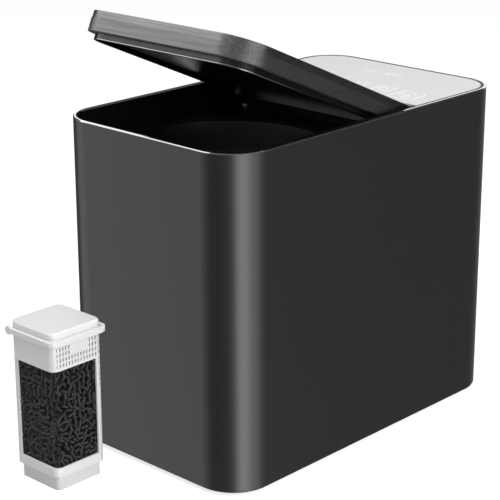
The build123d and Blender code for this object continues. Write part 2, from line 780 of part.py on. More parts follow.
def touch_springs():
    first = -(TOUCH_KEYS - 1) / 2 * TOUCH_PITCH
    places = [first + k * TOUCH_PITCH for k in range(TOUCH_KEYS)]
    return [rod(TOUCH_R, DISPLAY_Z + DISPLAY_T, PANEL_Z, x, TOUCH_Y) for x in places]


# ---- heated chamber ----
def chamber_liner():
    outer = LINER_R + LINER_T
    pot = rod(outer, CHAMBER_Z, DECK_Z, 0, BUCKET_Y)
    pot += rod(outer + LINER_FLANGE_W, DECK_Z - LINER_FLANGE_T, DECK_Z, 0, BUCKET_Y)
    pot -= rod(LINER_R, CHAMBER_Z + LINER_T, DECK_Z, 0, BUCKET_Y)
    return pot - rod(SHAFT_HOLE_R, CHAMBER_Z, CHAMBER_Z + LINER_T, 0, BUCKET_Y)


def insulation_sleeve():
    inner = LINER_R + LINER_T + SLEEVE_GAP
    return ring(inner + SLEEVE_T, inner, SLEEVE_Z0, SLEEVE_Z1, 0, BUCKET_Y)


def chamber_bracket():
    outer = LINER_R + LINER_T
    bracket = ring(outer, outer - RING_W, CHAMBER_Z - RING_T, CHAMBER_Z, 0, BUCKET_Y)
    half = LEG_W / 2
    for x in (-LEG_X, LEG_X):
        for y in (BUCKET_Y - LEG_DY, BUCKET_Y + LEG_DY):
            bracket += block(x - half, x + half, y - half, y + half, BASE_TOP, CHAMBER_Z)
    return bracket


def heating_element():
    return Pos(0, BUCKET_Y, CHAMBER_Z + LINER_T + ELEMENT_R) * Torus(ELEMENT_RING_R, ELEMENT_R)


def heater_plate():
    plate = ring(HEATER_R, SHAFT_HOLE_R, HEATER_Z, HEATER_Z + HEATER_T, 0, BUCKET_Y)
    return plate + ring(HEATER_R, HEATER_R - HEATER_RIM_W, CHAMBER_Z + LINER_T, HEATER_Z, 0, BUCKET_Y)


def thermostat():
    return rod(THERMOSTAT_R, CHAMBER_Z - THERMOSTAT_H, CHAMBER_Z, -SENSOR_RING_R, BUCKET_Y - SENSOR_DY)


def thermal_fuse():
    x0 = SENSOR_RING_R - FUSE_L / 2
    return x_rod(FUSE_R, x0, x0 + FUSE_L, BUCKET_Y - SENSOR_DY, CHAMBER_Z - FUSE_R)


# ---- bucket ----
def bucket():
    outer = BUCKET_R + BUCKET_WALL
    pot = rod(outer, BUCKET_Z, BUCKET_TOP, 0, BUCKET_Y)
    pot += rod(outer + BUCKET_FLANGE_W, BUCKET_TOP - BUCKET_FLANGE_T, BUCKET_TOP, 0, BUCKET_Y)
    pot -= rod(BUCKET_R, BUCKET_IN_Z, BUCKET_TOP, 0, BUCKET_Y)
    pot += rod(BUCKET_BOSS_R, BUCKET_Z, BOSS_TOP, 0, BUCKET_Y)
    pot -= rod(BUSH_R, BUCKET_Z, BOSS_TOP, 0, BUCKET_Y)
    for x0 in (-EAR_X - EAR_T, EAR_X):
        x1 = x0 + EAR_T
        pot += x_rod(EAR_W / 2, x0, x1, BUCKET_Y, HANDLE_Z)
        pot += block(x0, x1, BUCKET_Y - EAR_W / 2, BUCKET_Y + EAR_W / 2, BUCKET_TOP, HANDLE_Z)
        pot -= x_rod(PIN_R + RUN_FIT, x0, x1, BUCKET_Y, HANDLE_Z)
    return pot


def bucket_handle():
    """Half-round bail that lies on the front of the bucket's rim."""
    section = Plane.XZ * (Pos(-HANDLE_PATH_R, 0) * Circle(HANDLE_ROD_R))
    handle = Pos(0, BUCKET_Y, HANDLE_Z) * revolve(section, Axis.Z, 180)
    for side in (-1, 1):
        inner = side * (HANDLE_PATH_R - HANDLE_EYE_R)
        middle = side * (HANDLE_PATH_R + HANDLE_EYE_R)
        outer = side * (EAR_X + EAR_T)
        handle += x_rod(HANDLE_EYE_R, *sorted((inner, middle)), BUCKET_Y, HANDLE_Z)
        handle += x_rod(PIN_R, *sorted((middle, outer)), BUCKET_Y, HANDLE_Z)
    return handle


def shaft_bushing():
    return ring(BUSH_R, AGITATOR_SHAFT_R + RUN_FIT, BUCKET_Z, BOSS_TOP - SEAL_H, 0, BUCKET_Y)


def shaft_seal():
    return ring(BUSH_R, AGITATOR_SHAFT_R + RUN_FIT, BOSS_TOP - SEAL_H, BOSS_TOP, 0, BUCKET_Y)


def spoke(inner, outer, width, z0, z1, angle):
    """Bar that points away from the bucket's middle."""
    bar = block(inner, outer, -width / 2, width / 2, z0, z1)
    return Pos(0, BUCKET_Y) * (Rot(0, 0, angle) * bar)


def fixed_blades():
    """Two bars on the bucket's wall that the agitator's arms shear past."""
    z0 = ARM_Z + ARM_T + BLADE_CLEAR
    z1 = z0 + BLADE_T
    reach = rod(BUCKET_R, z0, z1, 0, BUCKET_Y)
    return [spoke(HUB_R + BLADE_CLEAR, WIDTH, BLADE_W, z0, z1, angle) & reach for angle in BLADE_ANGLES]


# ---- agitator ----
def agitator_shaft():
    return rod(AGITATOR_SHAFT_R, SOCKET_ROOF_Z, HUB_Z + HUB_H, 0, BUCKET_Y)


def agitator():
    """Hub with two low arms, whose tips reach down, and two upper arms across them."""
    upper_z = ARM_Z + ARM_STEP
    root = HUB_R / 2
    arms = Part()
    for angle in (0, 180):
        arms += spoke(root, WIDTH, ARM_W, ARM_Z, ARM_Z + ARM_T, angle)
        arms += spoke(ARM_REACH - TIP_L, WIDTH, ARM_W, ARM_Z - TIP_DROP, ARM_Z, angle)
        arms += spoke(root, WIDTH, ARM_W, upper_z, upper_z + ARM_T, angle + 90)
    arms = arms & rod(ARM_REACH, BUCKET_IN_Z, HUB_Z + HUB_H, 0, BUCKET_Y)
    hub = rod(HUB_R, HUB_Z, HUB_Z + HUB_H, 0, BUCKET_Y)
    return hub + arms - rod(AGITATOR_SHAFT_R, HUB_Z, HUB_Z + HUB_H, 0, BUCKET_Y)


def agitator_nut():
    return Pos(0, BUCKET_Y, HUB_Z + HUB_H) * extrude(RegularPolygon(NUT_R, 6), NUT_H)


def hexagon(flats):
    return RegularPolygon(flats / sqrt(3), 6)


def drive_socket():
    """Socket under the bucket that drops over the drive's hexagon."""
    socket = rod(SOCKET_R, SOCKET_Z, SOCKET_TOP, 0, BUCKET_Y)
    socket -= Pos(0, BUCKET_Y, SOCKET_Z) * extrude(hexagon(DOG_FLATS + 2 * FIT), SOCKET_ROOF_Z - SOCKET_Z)
    return socket - rod(AGITATOR_SHAFT_R, SOCKET_ROOF_Z, SOCKET_TOP, 0, BUCKET_Y)


# ---- drive train ----
def housing_outline(inset):
    """The gearbox's outline round its three shafts, moved inwards."""
    grow = MODULE + HOUSING_CLEAR + HOUSING_WALL - inset
    circles = [
        Pos(0, BUCKET_Y) * Circle(OUTPUT_R + grow),
        Pos(0, IDLER_Y) * Circle(LARGE_R + grow),
        Pos(0, MOTOR_Y) * Circle(MOTOR_R + HOUSING_WALL - inset),
    ]
    return make_hull([edge for circle in circles for edge in circle.edges()])


def housing_screw_places():
    """Screw lugs beside the output shaft, the idler and the motor."""
    grow = MODULE + HOUSING_CLEAR + HOUSING_WALL + LUG_OUT
    motor_reach = MOTOR_R + HOUSING_WALL + LUG_OUT
    reaches = [(OUTPUT_R + grow, BUCKET_Y), (LARGE_R + grow, IDLER_Y), (motor_reach, MOTOR_Y)]
    return [(side * x, y) for x, y in reaches for side in (-1, 1)]


def gearbox_base():
    base = prism(housing_outline(0), HOUSING_Z, HOUSING_TOP)
    for x, y in housing_screw_places():
        base += rod(LUG_R, HOUSING_Z, HOUSING_TOP, x, y)
    base -= prism(housing_outline(HOUSING_WALL), HOUSING_Z + HOUSING_FLOOR, HOUSING_TOP)
    for x, y in housing_screw_places():
        base -= rod(SCREW_R + SCREW_FIT, COVER_TOP - SCREW_L, HOUSING_TOP, x, y)
    base += rod(BEARING_R + BEARING_BOSS_W, HOUSING_Z, LOW_BEARING_Z + BEARING_H, 0, BUCKET_Y)
    base -= rod(BEARING_R, LOW_BEARING_Z, HOUSING_TOP, 0, BUCKET_Y)
    base += rod(IDLER_AXLE_R + BEARING_BOSS_W, HOUSING_Z, GEAR_A_Z - FIT, 0, IDLER_Y)
    return base - rod(IDLER_AXLE_R, LOW_BEARING_Z, HOUSING_TOP, 0, IDLER_Y)


def gearbox_cover():
    boss_top = HOUSING_TOP + BEARING_H + BEARING_BOSS_W
    cover = prism(housing_outline(0), HOUSING_TOP, COVER_TOP)
    for x, y in housing_screw_places():
        cover += rod(LUG_R, HOUSING_TOP, COVER_TOP, x, y)
        cover -= rod(SCREW_R + FIT, HOUSING_TOP, COVER_TOP, x, y)
    cover += rod(BEARING_R + BEARING_BOSS_W, HOUSING_TOP, boss_top, 0, BUCKET_Y)
    cover -= rod(BEARING_R, HOUSING_TOP, HOUSING_TOP + BEARING_H, 0, BUCKET_Y)
    cover -= rod(OUTPUT_SHAFT_R + FIT, HOUSING_TOP, boss_top, 0, BUCKET_Y)
    cover -= rod(MOTOR_SHAFT_R + FIT, HOUSING_TOP, COVER_TOP, 0, MOTOR_Y)
    return cover - rod(IDLER_AXLE_R, HOUSING_TOP, COVER_TOP, 0, IDLER_Y)


def shaft_bearings():
    bore = OUTPUT_SHAFT_R + RUN_FIT
    return [ring(BEARING_R, bore, z, z + BEARING_H, 0, BUCKET_Y) for z in (LOW_BEARING_Z, HOUSING_TOP)]


def output_shaft():
    shaft = rod(OUTPUT_SHAFT_R, LOW_BEARING_Z + FIT, DOG_Z, 0, BUCKET_Y)
    return shaft + Pos(0, BUCKET_Y, DOG_Z) * extrude(hexagon(DOG_FLATS), DOG_H)


def output_gear():
    top = GEAR_A_Z + GEAR_W
    hub = ring(OUTPUT_HUB_R, OUTPUT_SHAFT_R, top, top + GEAR_W, 0, BUCKET_Y)
    return gear(OUTPUT_TEETH, 90, OUTPUT_SHAFT_R, GEAR_A_Z, BUCKET_Y) + hub


def idler_axle():
    return rod(IDLER_AXLE_R, LOW_BEARING_Z, COVER_TOP, 0, IDLER_Y)


def idler_gear():
    bore = IDLER_AXLE_R + RUN_FIT
    small = gear(SMALL_TEETH, -90 + 180 / SMALL_TEETH, bore, GEAR_A_Z, IDLER_Y)
    large = gear(LARGE_TEETH, 90, bore, GEAR_B_Z, IDLER_Y)
    return small + large + ring(SMALL_R - 2 * MODULE, bore, GEAR_A_Z + GEAR_W, GEAR_B_Z, 0, IDLER_Y)


def motor_pinion():
    shaft = rod(MOTOR_SHAFT_R, GEAR_B_Z, COVER_TOP + MOTOR_H / 2, 0, MOTOR_Y)
    return gear(PINION_TEETH, -90 + 180 / PINION_TEETH, MOTOR_SHAFT_R, GEAR_B_Z, MOTOR_Y) + shaft


def drive_motor():
    motor = rod(MOTOR_R, COVER_TOP, COVER_TOP + MOTOR_H - MOTOR_CAP_H, 0, MOTOR_Y)
    motor += rod(MOTOR_CAP_R, COVER_TOP, COVER_TOP + MOTOR_H, 0, MOTOR_Y)
    return motor - rod(MOTOR_SHAFT_R + RUN_FIT, COVER_TOP, COVER_TOP + MOTOR_H / 2 + FIT, 0, MOTOR_Y)


# ---- air path ----
def duct_space(inset):
    """A tall leg that opens under the deck and a level leg that opens at the fan."""
    y0 = DUCT_Y0 + inset
    half = DUCT_W / 2 - inset
    z0 = DUCT_Z0 + inset
    tall = block(BAY_X - half, BAY_X + half, y0, DUCT_Y0 + DUCT_D - inset, z0, DECK_Z)
    return tall + block(BAY_X - half, BAY_X + half, y0, FAN_Y, z0, DUCT_Z0 + DUCT_LEG_H - inset)


def air_duct():
    return duct_space(0) - duct_space(DUCT_WALL)


def fan_holes():
    half = FAN_HOLE_PITCH / 2
    return [(BAY_X + sx * half, FAN_Z + sz * half) for sx in (-1, 1) for sz in (-1, 1)]


def fan_frame():
    half = FAN_SIZE / 2
    strut = FAN_STRUT_W / 2
    plate_y = BAY_FRONT - FAN_PLATE_T
    frame = block(BAY_X - half, BAY_X + half, FAN_Y, BAY_FRONT, FAN_Z - half, FAN_Z + half)
    frame -= y_rod(FAN_BORE_R, FAN_Y, BAY_FRONT, BAY_X, FAN_Z)
    frame += y_rod(FAN_HUB_R, plate_y, BAY_FRONT, BAY_X, FAN_Z)
    frame += block(BAY_X - half, BAY_X + half, plate_y, BAY_FRONT, FAN_Z - strut, FAN_Z + strut)
    frame += block(BAY_X - strut, BAY_X + strut, plate_y, BAY_FRONT, FAN_Z - half, FAN_Z + half)
    frame -= y_rod(FAN_AXLE_R + RUN_FIT, plate_y, BAY_FRONT, BAY_X, FAN_Z)
    return frame - [y_rod(SCREW_R + FIT, FAN_Y, BAY_FRONT, x, z) for x, z in fan_holes()]


def fan_rotor():
    y0 = FAN_Y + GAP
    y1 = BAY_FRONT - FAN_PLATE_T - GAP
    sweep = y_rod(FAN_BORE_R - FAN_TIP_GAP, y0, y1, BAY_X, FAN_Z)
    blade = Box(FAN_BLADE_T, FAN_T, FAN_BORE_R, align=(Align.CENTER, Align.CENTER, Align.MIN))
    rotor = y_rod(FAN_HUB_R, y0, y1, BAY_X, FAN_Z)
    for k in range(FAN_BLADES):
        placed = Rot(0, k * 360 / FAN_BLADES, 0) * (Rot(0, 0, FAN_BLADE_PITCH) * blade)
        rotor += (Pos(BAY_X, (y0 + y1) / 2, FAN_Z) * placed) & sweep
    return rotor + y_rod(FAN_AXLE_R, y1, BAY_FRONT, BAY_X, FAN_Z)


def filter_bay():
    """Box that the filter cartridge stands in, open at the rear."""
    half = BAY_W / 2
    inner = half - BAY_WALL
    bay = block(BAY_X - half, BAY_X + half, BAY_FRONT, BAY_REAR, BAY_Z0, BAY_Z1)
    bay -= block(
        BAY_X - inner, BAY_X + inner, BAY_FRONT + BAY_WALL, BAY_REAR, BAY_Z0 + BAY_WALL, BAY_Z1 - BAY_WALL
    )
    bay -= y_rod(FAN_BORE_R, BAY_FRONT, BAY_FRONT + BAY_WALL, BAY_X, FAN_Z)
    return bay - [y_rod(SCREW_R, BAY_FRONT, BAY_FRONT + BAY_WALL, x, z) for x, z in fan_holes()]


# ---- rear door ----
def filter_door():
    z0 = BAY_Z0 + DOOR_GAP
    z1 = BAY_Z1 - DOOR_GAP
    rear = DEPTH / 2
    door = block(DOOR_X0, DOOR_HINGE_X, rear - DOOR_T, rear, z0, z1)
    door += rod(DOOR_KNUCKLE_R, z0, z1, DOOR_HINGE_X, DOOR_HINGE_Y)
    x0 = (DOOR_X0 + DOOR_HINGE_X - DOOR_KNUCKLE_R - DOOR_SLOT_L) / 2
    for k in range(DOOR_SLOTS):
        z = (BAY_Z0 + BAY_Z1) / 2 + (k - DOOR_SLOTS / 2) * DOOR_SLOT_PITCH
        door -= block(x0, x0 + DOOR_SLOT_L, rear - DOOR_T, rear, z, z + DOOR_SLOT_W)
    for pin_z0, pin_z1 in door_pin_ends():
        door -= rod(DOOR_PIN_R + RUN_FIT, pin_z0 - FIT, pin_z1 + FIT, DOOR_HINGE_X, DOOR_HINGE_Y)
    return door


# ---- electrics ----
def power_inlet():
    """Appliance inlet with its three contacts."""
    rear = DEPTH / 2
    front = rear - INLET_D
    inlet = inlet_block(0, front, rear) + inlet_block(INLET_FLANGE_W, rear, rear + INLET_FLANGE_T)
    inlet -= inlet_block(-INLET_WALL, front + INLET_WALL, rear + INLET_FLANGE_T)
    for k in (-1, 0, 1):
        x0 = INLET_X + k * INLET_PIN_PITCH - INLET_PIN_T / 2
        z0 = INLET_Z - INLET_PIN_W / 2
        inlet += block(x0, x0 + INLET_PIN_T, front + INLET_WALL, front + INLET_PIN_L, z0, z0 + INLET_PIN_W)
    return inlet


def power_board():
    return block(BOARD_X, BOARD_X + BOARD_T, BOARD_Y0, BOARD_Y1, BOARD_Z0, BOARD_Z1)


def board_bracket():
    face = BOARD_X + BOARD_T
    x = face + BRACKET_GAP
    bracket = block(x, x + BRACKET_T, BOARD_Y0, BOARD_Y1, BASE_TOP, BOARD_Z1)
    bracket += block(x, x + BRACKET_T + BRACKET_FOOT, BOARD_Y0, BOARD_Y1, BASE_TOP, BASE_TOP + BRACKET_T)
    for y in (BOARD_Y0 + STANDOFF_INSET, BOARD_Y1 - STANDOFF_INSET):
        for z in (BOARD_Z0 + STANDOFF_INSET, BOARD_Z1 - STANDOFF_INSET):
            bracket += x_rod(STANDOFF_R, face, x, y, z)
    return bracket


def board_parts():
    """Transformer, relays and capacitors on the power board."""
    y0 = BOARD_Y0 + STANDOFF_INSET
    z0 = BOARD_Z0 + STANDOFF_INSET
    parts = [block(BOARD_X - COIL_H, BOARD_X, y0, y0 + COIL_W, z0, z0 + COIL_W)]
    z0 += COIL_W + PART_GAP
    for k in range(RELAYS):
        y = y0 + k * (RELAY_W + PART_GAP)
        parts.append(block(BOARD_X - RELAY_H, BOARD_X, y, y + RELAY_W, z0, z0 + RELAY_W))
        z = z0 + RELAY_W + PART_GAP + CAPACITOR_R
        parts.append(x_rod(CAPACITOR_R, BOARD_X - CAPACITOR_H, BOARD_X, y + RELAY_W / 2, z))
    return parts


# ---- filter cartridge ----
def cart_outline(width, radius):
    return Pos(CART_X, CART_Y) * RectangleRounded(width, width, radius)


def cartridge_base():
    cup = prism(cart_outline(CUP_W, CUP_R), 0, CUP_H)
    return cup - prism(cart_outline(CUP_W - 2 * CUP_WALL, CUP_R - CUP_WALL), CUP_WALL, CUP_H)


def edge_slot(row, column):
    """One fine slot in the right face. Rows count down and columns count back."""
    x = CART_X + CART_W / 2
    y = CART_Y + (column - (GRID_COLS - 1) / 2) * GRID_PITCH_X
    z = GRID_TOP - row * GRID_PITCH_Z
    return block(x - CART_WALL, x, y - GRID_SLOT_W / 2, y + GRID_SLOT_W / 2, z - GRID_SLOT_H, z)


def grid_slots():
    """Slot grid over the right window, with a blank place, and one column that runs on down."""
    blank = range(GRID_BLANK_START, GRID_BLANK_START + GRID_BLANK_COLS)
    slots = []
    for row in range(GRID_ROWS):
        for column in range(GRID_COLS):
            if row >= GRID_BLANK_ROWS or column not in blank:
                slots.append(edge_slot(row, column))
    return slots + [edge_slot(row, GRID_COLS - 1) for row in range(GRID_ROWS, EDGE_SLOTS)]


def rear_slots():
    """Long upright slots in the two closed faces."""
    edge = CART_W / 2
    slots = []
    for k in range(REAR_SLOTS):
        step = (k - REAR_SLOTS / 2) * REAR_SLOT_PITCH + REAR_SLOT_PITCH / 2
        x0 = CART_X + step - REAR_SLOT_W / 2
        y0 = CART_Y + step - REAR_SLOT_W / 2
        rear_y = CART_Y + edge
        left_x = CART_X - edge
        slots.append(block(x0, x0 + REAR_SLOT_W, rear_y - CART_WALL, rear_y, WINDOW_Z0, WINDOW_Z1))
        slots.append(block(left_x, left_x + CART_WALL, y0, y0 + REAR_SLOT_W, WINDOW_Z0, WINDOW_Z1))
    return slots


def cartridge_frame():
    """White cage with one large window that wraps the near corner."""
    inner = cart_outline(CART_W - 2 * CART_WALL, CART_R - CART_WALL)
    frame = prism(cart_outline(CART_W, CART_R), CUP_H, CART_TOP)
    frame -= prism(inner, CUP_H + CART_WALL, CART_TOP)
    frame -= prism(cart_outline(CUP_W - 2 * CUP_WALL, CUP_R - CUP_WALL), CUP_H, CUP_H + CART_WALL)
    half = CART_W / 2
    left = CART_X - half + WINDOW_POST
    rear = CART_Y + half - WINDOW_POST
    right = CART_X + half
    front = CART_Y - half
    frame -= block(left, right, front, front + CART_R, WINDOW_Z0, WINDOW_Z1)
    frame -= block(right - CART_R, right, front, rear, WINDOW_Z0, WINDOW_Z1)
    frame -= grid_slots()
    frame -= rear_slots()
    for side in (-1, 1):
        ends = sorted((CART_Y + side * (half - CART_WALL), CART_Y + side * BAIL_OUT))
        frame += y_rod(BAIL_PIN_R, *ends, BAIL_X, BAIL_Z)
    return frame


def cartridge_handle():
    """U-shaped bail round the cartridge's top, which swings up about its two eyes."""
    bar_in = CART_X + CART_W / 2 + BAIL_BAR_GAP
    bar_out = bar_in + BAIL_W
    z0 = BAIL_Z - BAIL_H / 2
    z1 = BAIL_Z + BAIL_H / 2
    length = 2 * (bar_out - BAIL_X)
    outline = Pos(BAIL_X, CART_Y) * RectangleRounded(length, 2 * BAIL_OUT, BAIL_CORNER_R)
    inside = RectangleRounded(length - 2 * BAIL_W, 2 * BAIL_IN, BAIL_CORNER_R - BAIL_W)
    handle = prism(outline - Pos(BAIL_X, CART_Y) * inside, z0, z1)
    handle -= block(BAIL_X - length, BAIL_X, CART_Y - BAIL_OUT, CART_Y + BAIL_OUT, z0, z1)
    for y0 in (CART_Y - BAIL_OUT, CART_Y + BAIL_IN):
        y1 = y0 + BAIL_W
        handle += y_rod(BAIL_EYE_R, y0, y1, BAIL_X, BAIL_Z)
        handle -= y_rod(BAIL_PIN_R + RUN_FIT, y0, y1, BAIL_X, BAIL_Z)
    return handle


def carbon_block():
    width = CART_W - 2 * CART_WALL - 2 * CARBON_GAP
    return prism(cart_outline(width, CART_R - CART_WALL - CARBON_GAP), CUP_H + CART_WALL, CARBON_Z1)


def cartridge_cap():
    cap = prism(cart_outline(CART_W, CART_R), CART_TOP + FIT, CART_TOP + FIT + CAP_H)
    cap = chamfer(cap.faces().sort_by(Axis.Z)[-1].edges(), CAP_BEVEL)
    plug = cart_outline(CART_W - 2 * CART_WALL - 2 * FIT, CART_R - CART_WALL - FIT)
    return cap + prism(plug, CART_TOP - CAP_PLUG_H, CART_TOP + FIT)


SUB_PARTS = [
    outer_shell, base_plate, rubber_feet, case_posts, case_screws, small_screws,
    chamber_deck, lid_sensor, hinge_brackets, hinge_pins, friction_washers,
    lid_cover, lid_top_panel, lid_liner, lid_magnet, lid_gasket,
    panel_tray, control_panel, display_board, touch_springs,
    chamber_liner, insulation_sleeve, chamber_bracket, heating_element, heater_plate,
    thermostat, thermal_fuse,
    bucket, bucket_handle, shaft_bushing, shaft_seal, fixed_blades,
    agitator_shaft, agitator, agitator_nut, drive_socket,
    gearbox_base, gearbox_cover, shaft_bearings, output_shaft, output_gear,
    idler_axle, idler_gear, motor_pinion, drive_motor,
    air_duct, fan_frame, fan_rotor, filter_bay, filter_door, door_pins,
    power_inlet, power_board, board_bracket, board_parts,
    cartridge_base, cartridge_frame, cartridge_handle, carbon_block, cartridge_cap,
]

for make in SUB_PARTS:
    save(make.__name__, make())
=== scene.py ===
import json
import math
import random
from itertools import product

import bpy
from mathutils import Matrix, Vector


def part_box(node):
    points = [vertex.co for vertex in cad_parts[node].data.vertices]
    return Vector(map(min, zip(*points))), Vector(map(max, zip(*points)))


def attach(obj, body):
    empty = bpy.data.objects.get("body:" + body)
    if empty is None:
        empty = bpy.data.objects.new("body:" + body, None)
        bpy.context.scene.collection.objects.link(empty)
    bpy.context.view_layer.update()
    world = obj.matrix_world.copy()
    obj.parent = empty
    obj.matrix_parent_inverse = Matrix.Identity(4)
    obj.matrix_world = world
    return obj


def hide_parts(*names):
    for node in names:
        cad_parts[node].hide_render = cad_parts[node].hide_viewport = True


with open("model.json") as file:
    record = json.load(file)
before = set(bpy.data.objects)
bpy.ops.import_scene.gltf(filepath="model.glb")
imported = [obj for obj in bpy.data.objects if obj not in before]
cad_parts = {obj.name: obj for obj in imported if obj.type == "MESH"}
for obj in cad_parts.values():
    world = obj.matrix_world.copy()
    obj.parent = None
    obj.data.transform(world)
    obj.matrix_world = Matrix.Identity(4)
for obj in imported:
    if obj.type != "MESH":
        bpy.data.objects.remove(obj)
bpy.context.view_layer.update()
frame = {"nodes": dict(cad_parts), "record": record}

# Lengths are in metres, and angles in degrees, unless a comment says otherwise. The machine's own frame,
# in mm, has its origin under the middle of the machine, SET_Y behind the shared frame's origin.
MM = 0.001
SET_Y = 45.05
UP = Vector((0, 0, 1))
BLACK = (0, 0, 0, 1)
WHITE = (1, 1, 1, 1)


# ---- camera ----
AZIMUTH = math.radians(43.381)
ELEVATION = math.radians(18.642)
ROLL = math.radians(-0.128)
CAMERA_PLACE = Vector((0.98467, -1.04641, 0.65555))
SENSOR = 36.0
FOCAL_PX = 1652.83
FRAME_PX = 500
FAR_CLIP = 50


def make_camera():
    look = Vector((
        -math.sin(AZIMUTH) * math.cos(ELEVATION),
        math.cos(AZIMUTH) * math.cos(ELEVATION),
        -math.sin(ELEVATION),
    ))
    right = Vector((math.cos(AZIMUTH), math.sin(AZIMUTH), 0))
    up = right.cross(look)
    rolled_right = right * math.cos(ROLL) + up * math.sin(ROLL)
    rolled_up = up * math.cos(ROLL) - right * math.sin(ROLL)
    data = bpy.data.cameras.new("camera")
    data.sensor_fit = "HORIZONTAL"
    data.sensor_width = SENSOR
    data.lens = FOCAL_PX / FRAME_PX * SENSOR
    data.clip_end = FAR_CLIP
    camera = bpy.data.objects.new("camera", data)
    turn = Matrix((rolled_right, rolled_up, -look)).transposed().to_4x4()
    camera.matrix_world = Matrix.Translation(CAMERA_PLACE) @ turn
    bpy.context.scene.collection.objects.link(camera)
    bpy.context.scene.camera = camera


# ---- light, floor and backdrop ----
MIDDLE = Vector((0, 0, 0.16))
AMBIENT = 0.28
AMBIENT_TONE = (0.97, 0.98, 1, 1)
FLOOR_HALF = 12.0
FLOOR_PAPER = 0.6
FLOOR_GLOW = 0.75

# name: azimuth and distance of the place, its height, the soft box's width and height, its radiance
LAMPS = {
    "right_lamp": (85, 1.9, 1.0, 1.2, 1.2, 6.7),
    "left_lamp": (-50, 1.9, 0.9, 1.0, 1.2, 0.95),
    "top_lamp": (30, 0.4, 1.9, 1.3, 1.3, 2.9),
}

# name: first and last azimuth, lowest and highest place, radiance. The dark ones are called flags, and
# those that start at CARD_FOOT go on under the floor, which gloss doesn't see
CARD_DISTANCE = 3.0
CARD_STEPS = 12
CARD_FOOT = -2.5
CARDS = {
    "left_card": (-77, -29, CARD_FOOT, 0.7, 1.2),
    "left_high_card": (-77, -33, 0.7, 2.4, 4.6),
    "middle_flag": (-29, 50, CARD_FOOT, 0.9, 0.22),
    "middle_high_card": (-33, 16, 0.95, 2.2, 1.9),
    "right_card": (52, 84, CARD_FOOT, 0.9, 5.4),
    "right_high_card": (50, 84, 0.9, 2.2, 1.0),
    "rear_right_card": (86, 113, CARD_FOOT, 2.2, 2.1),
    "rear_right_flag": (116, 176, CARD_FOOT, 0.8, 0.16),
    "rear_right_high_flag": (114, 180, 0.8, 3.6, 0.03),
    "rear_edge_card": (177, 216, CARD_FOOT, 0.3, 0.4),
    "rear_left_flag": (-130, -79, CARD_FOOT, 0.6, 0.05),
    "rear_left_high_flag": (-122, -79, 0.6, 2.6, 0.05),
}
ROOF_FLAG_MIDDLE = Vector((0.58, 0.17, 2.9))
ROOF_FLAG_HALF_X = 1.78
ROOF_FLAG_HALF_Y = 1.75
ROOF_FLAG_RADIANCE = 0.1


def round_the_object(azimuth, distance, height):
    """A place at that azimuth, measured from the front towards the right side."""
    angle = math.radians(azimuth)
    return Vector((distance * math.sin(angle), -distance * math.cos(angle), height))


def level_square(middle, half_x, half_y, upwards=True):
    """Corners and face of a level rectangle that faces up or down."""
    corners = [(-half_x, -half_y), (half_x, -half_y), (half_x, half_y), (-half_x, half_y)]
    face = (0, 1, 2, 3) if upwards else (3, 2, 1, 0)
    return [middle + Vector((x, y, 0)) for x, y in corners], [face]


def make_lamp(name, azimuth, distance, height, width, tall, radiance):
    """Soft box that lights the object and isn't seen in its gloss, which shows the cards instead."""
    data = bpy.data.lights.new(name, "AREA")
    data.shape = "RECTANGLE"
    data.size = width
    data.size_y = tall
    data.energy = radiance * width * tall * math.pi
    lamp = bpy.data.objects.new(name, data)
    lamp.location = round_the_object(azimuth, distance, height)
    lamp.rotation_euler = (MIDDLE - lamp.location).to_track_quat("-Z", "Y").to_euler()
    lamp.visible_glossy = False
    bpy.context.scene.collection.objects.link(lamp)


def emission_material(name, strength):
    material = bpy.data.materials.new(name)
    material.use_nodes = True
    nodes, links = material.node_tree.nodes, material.node_tree.links
    nodes.clear()
    glow = nodes.new("ShaderNodeEmission")
    glow.inputs["Strength"].default_value = strength
    out = nodes.new("ShaderNodeOutputMaterial")
    links.new(glow.outputs[0], out.inputs["Surface"])
    material.cycles.emission_sampling = "NONE"
    return material


def stage_for_gloss(name, verts, faces, radiance):
    """Studio surface that only gloss sees."""
    mesh = bpy.data.meshes.new(name)
    mesh.from_pydata(verts, [], faces)
    mesh.materials.append(emission_material(name, radiance))
    card = bpy.data.objects.new(name, mesh)
    bpy.context.scene.collection.objects.link(card)
    card.visible_camera = False
    card.visible_diffuse = False
    card.visible_shadow = False
    card.visible_transmission = False


def make_card(name, start, end, low, high, radiance):
    """Upright studio card between two azimuths and two heights."""
    points = []
    for k in range(CARD_STEPS + 1):
        azimuth = start + (end - start) * k / CARD_STEPS
        points += [round_the_object(azimuth, CARD_DISTANCE, height) for height in (low, high)]
    faces = [(2 * k, 2 * k + 2, 2 * k + 3, 2 * k + 1) for k in range(CARD_STEPS)]
    stage_for_gloss(name, points, faces, radiance)


def make_roof_flag():
    """Dark sheet overhead, which keeps the near corner's rim dark."""
    points, faces = level_square(ROOF_FLAG_MIDDLE, ROOF_FLAG_HALF_X, ROOF_FLAG_HALF_Y, upwards=False)
    stage_for_gloss("roof_flag", points, faces, ROOF_FLAG_RADIANCE)


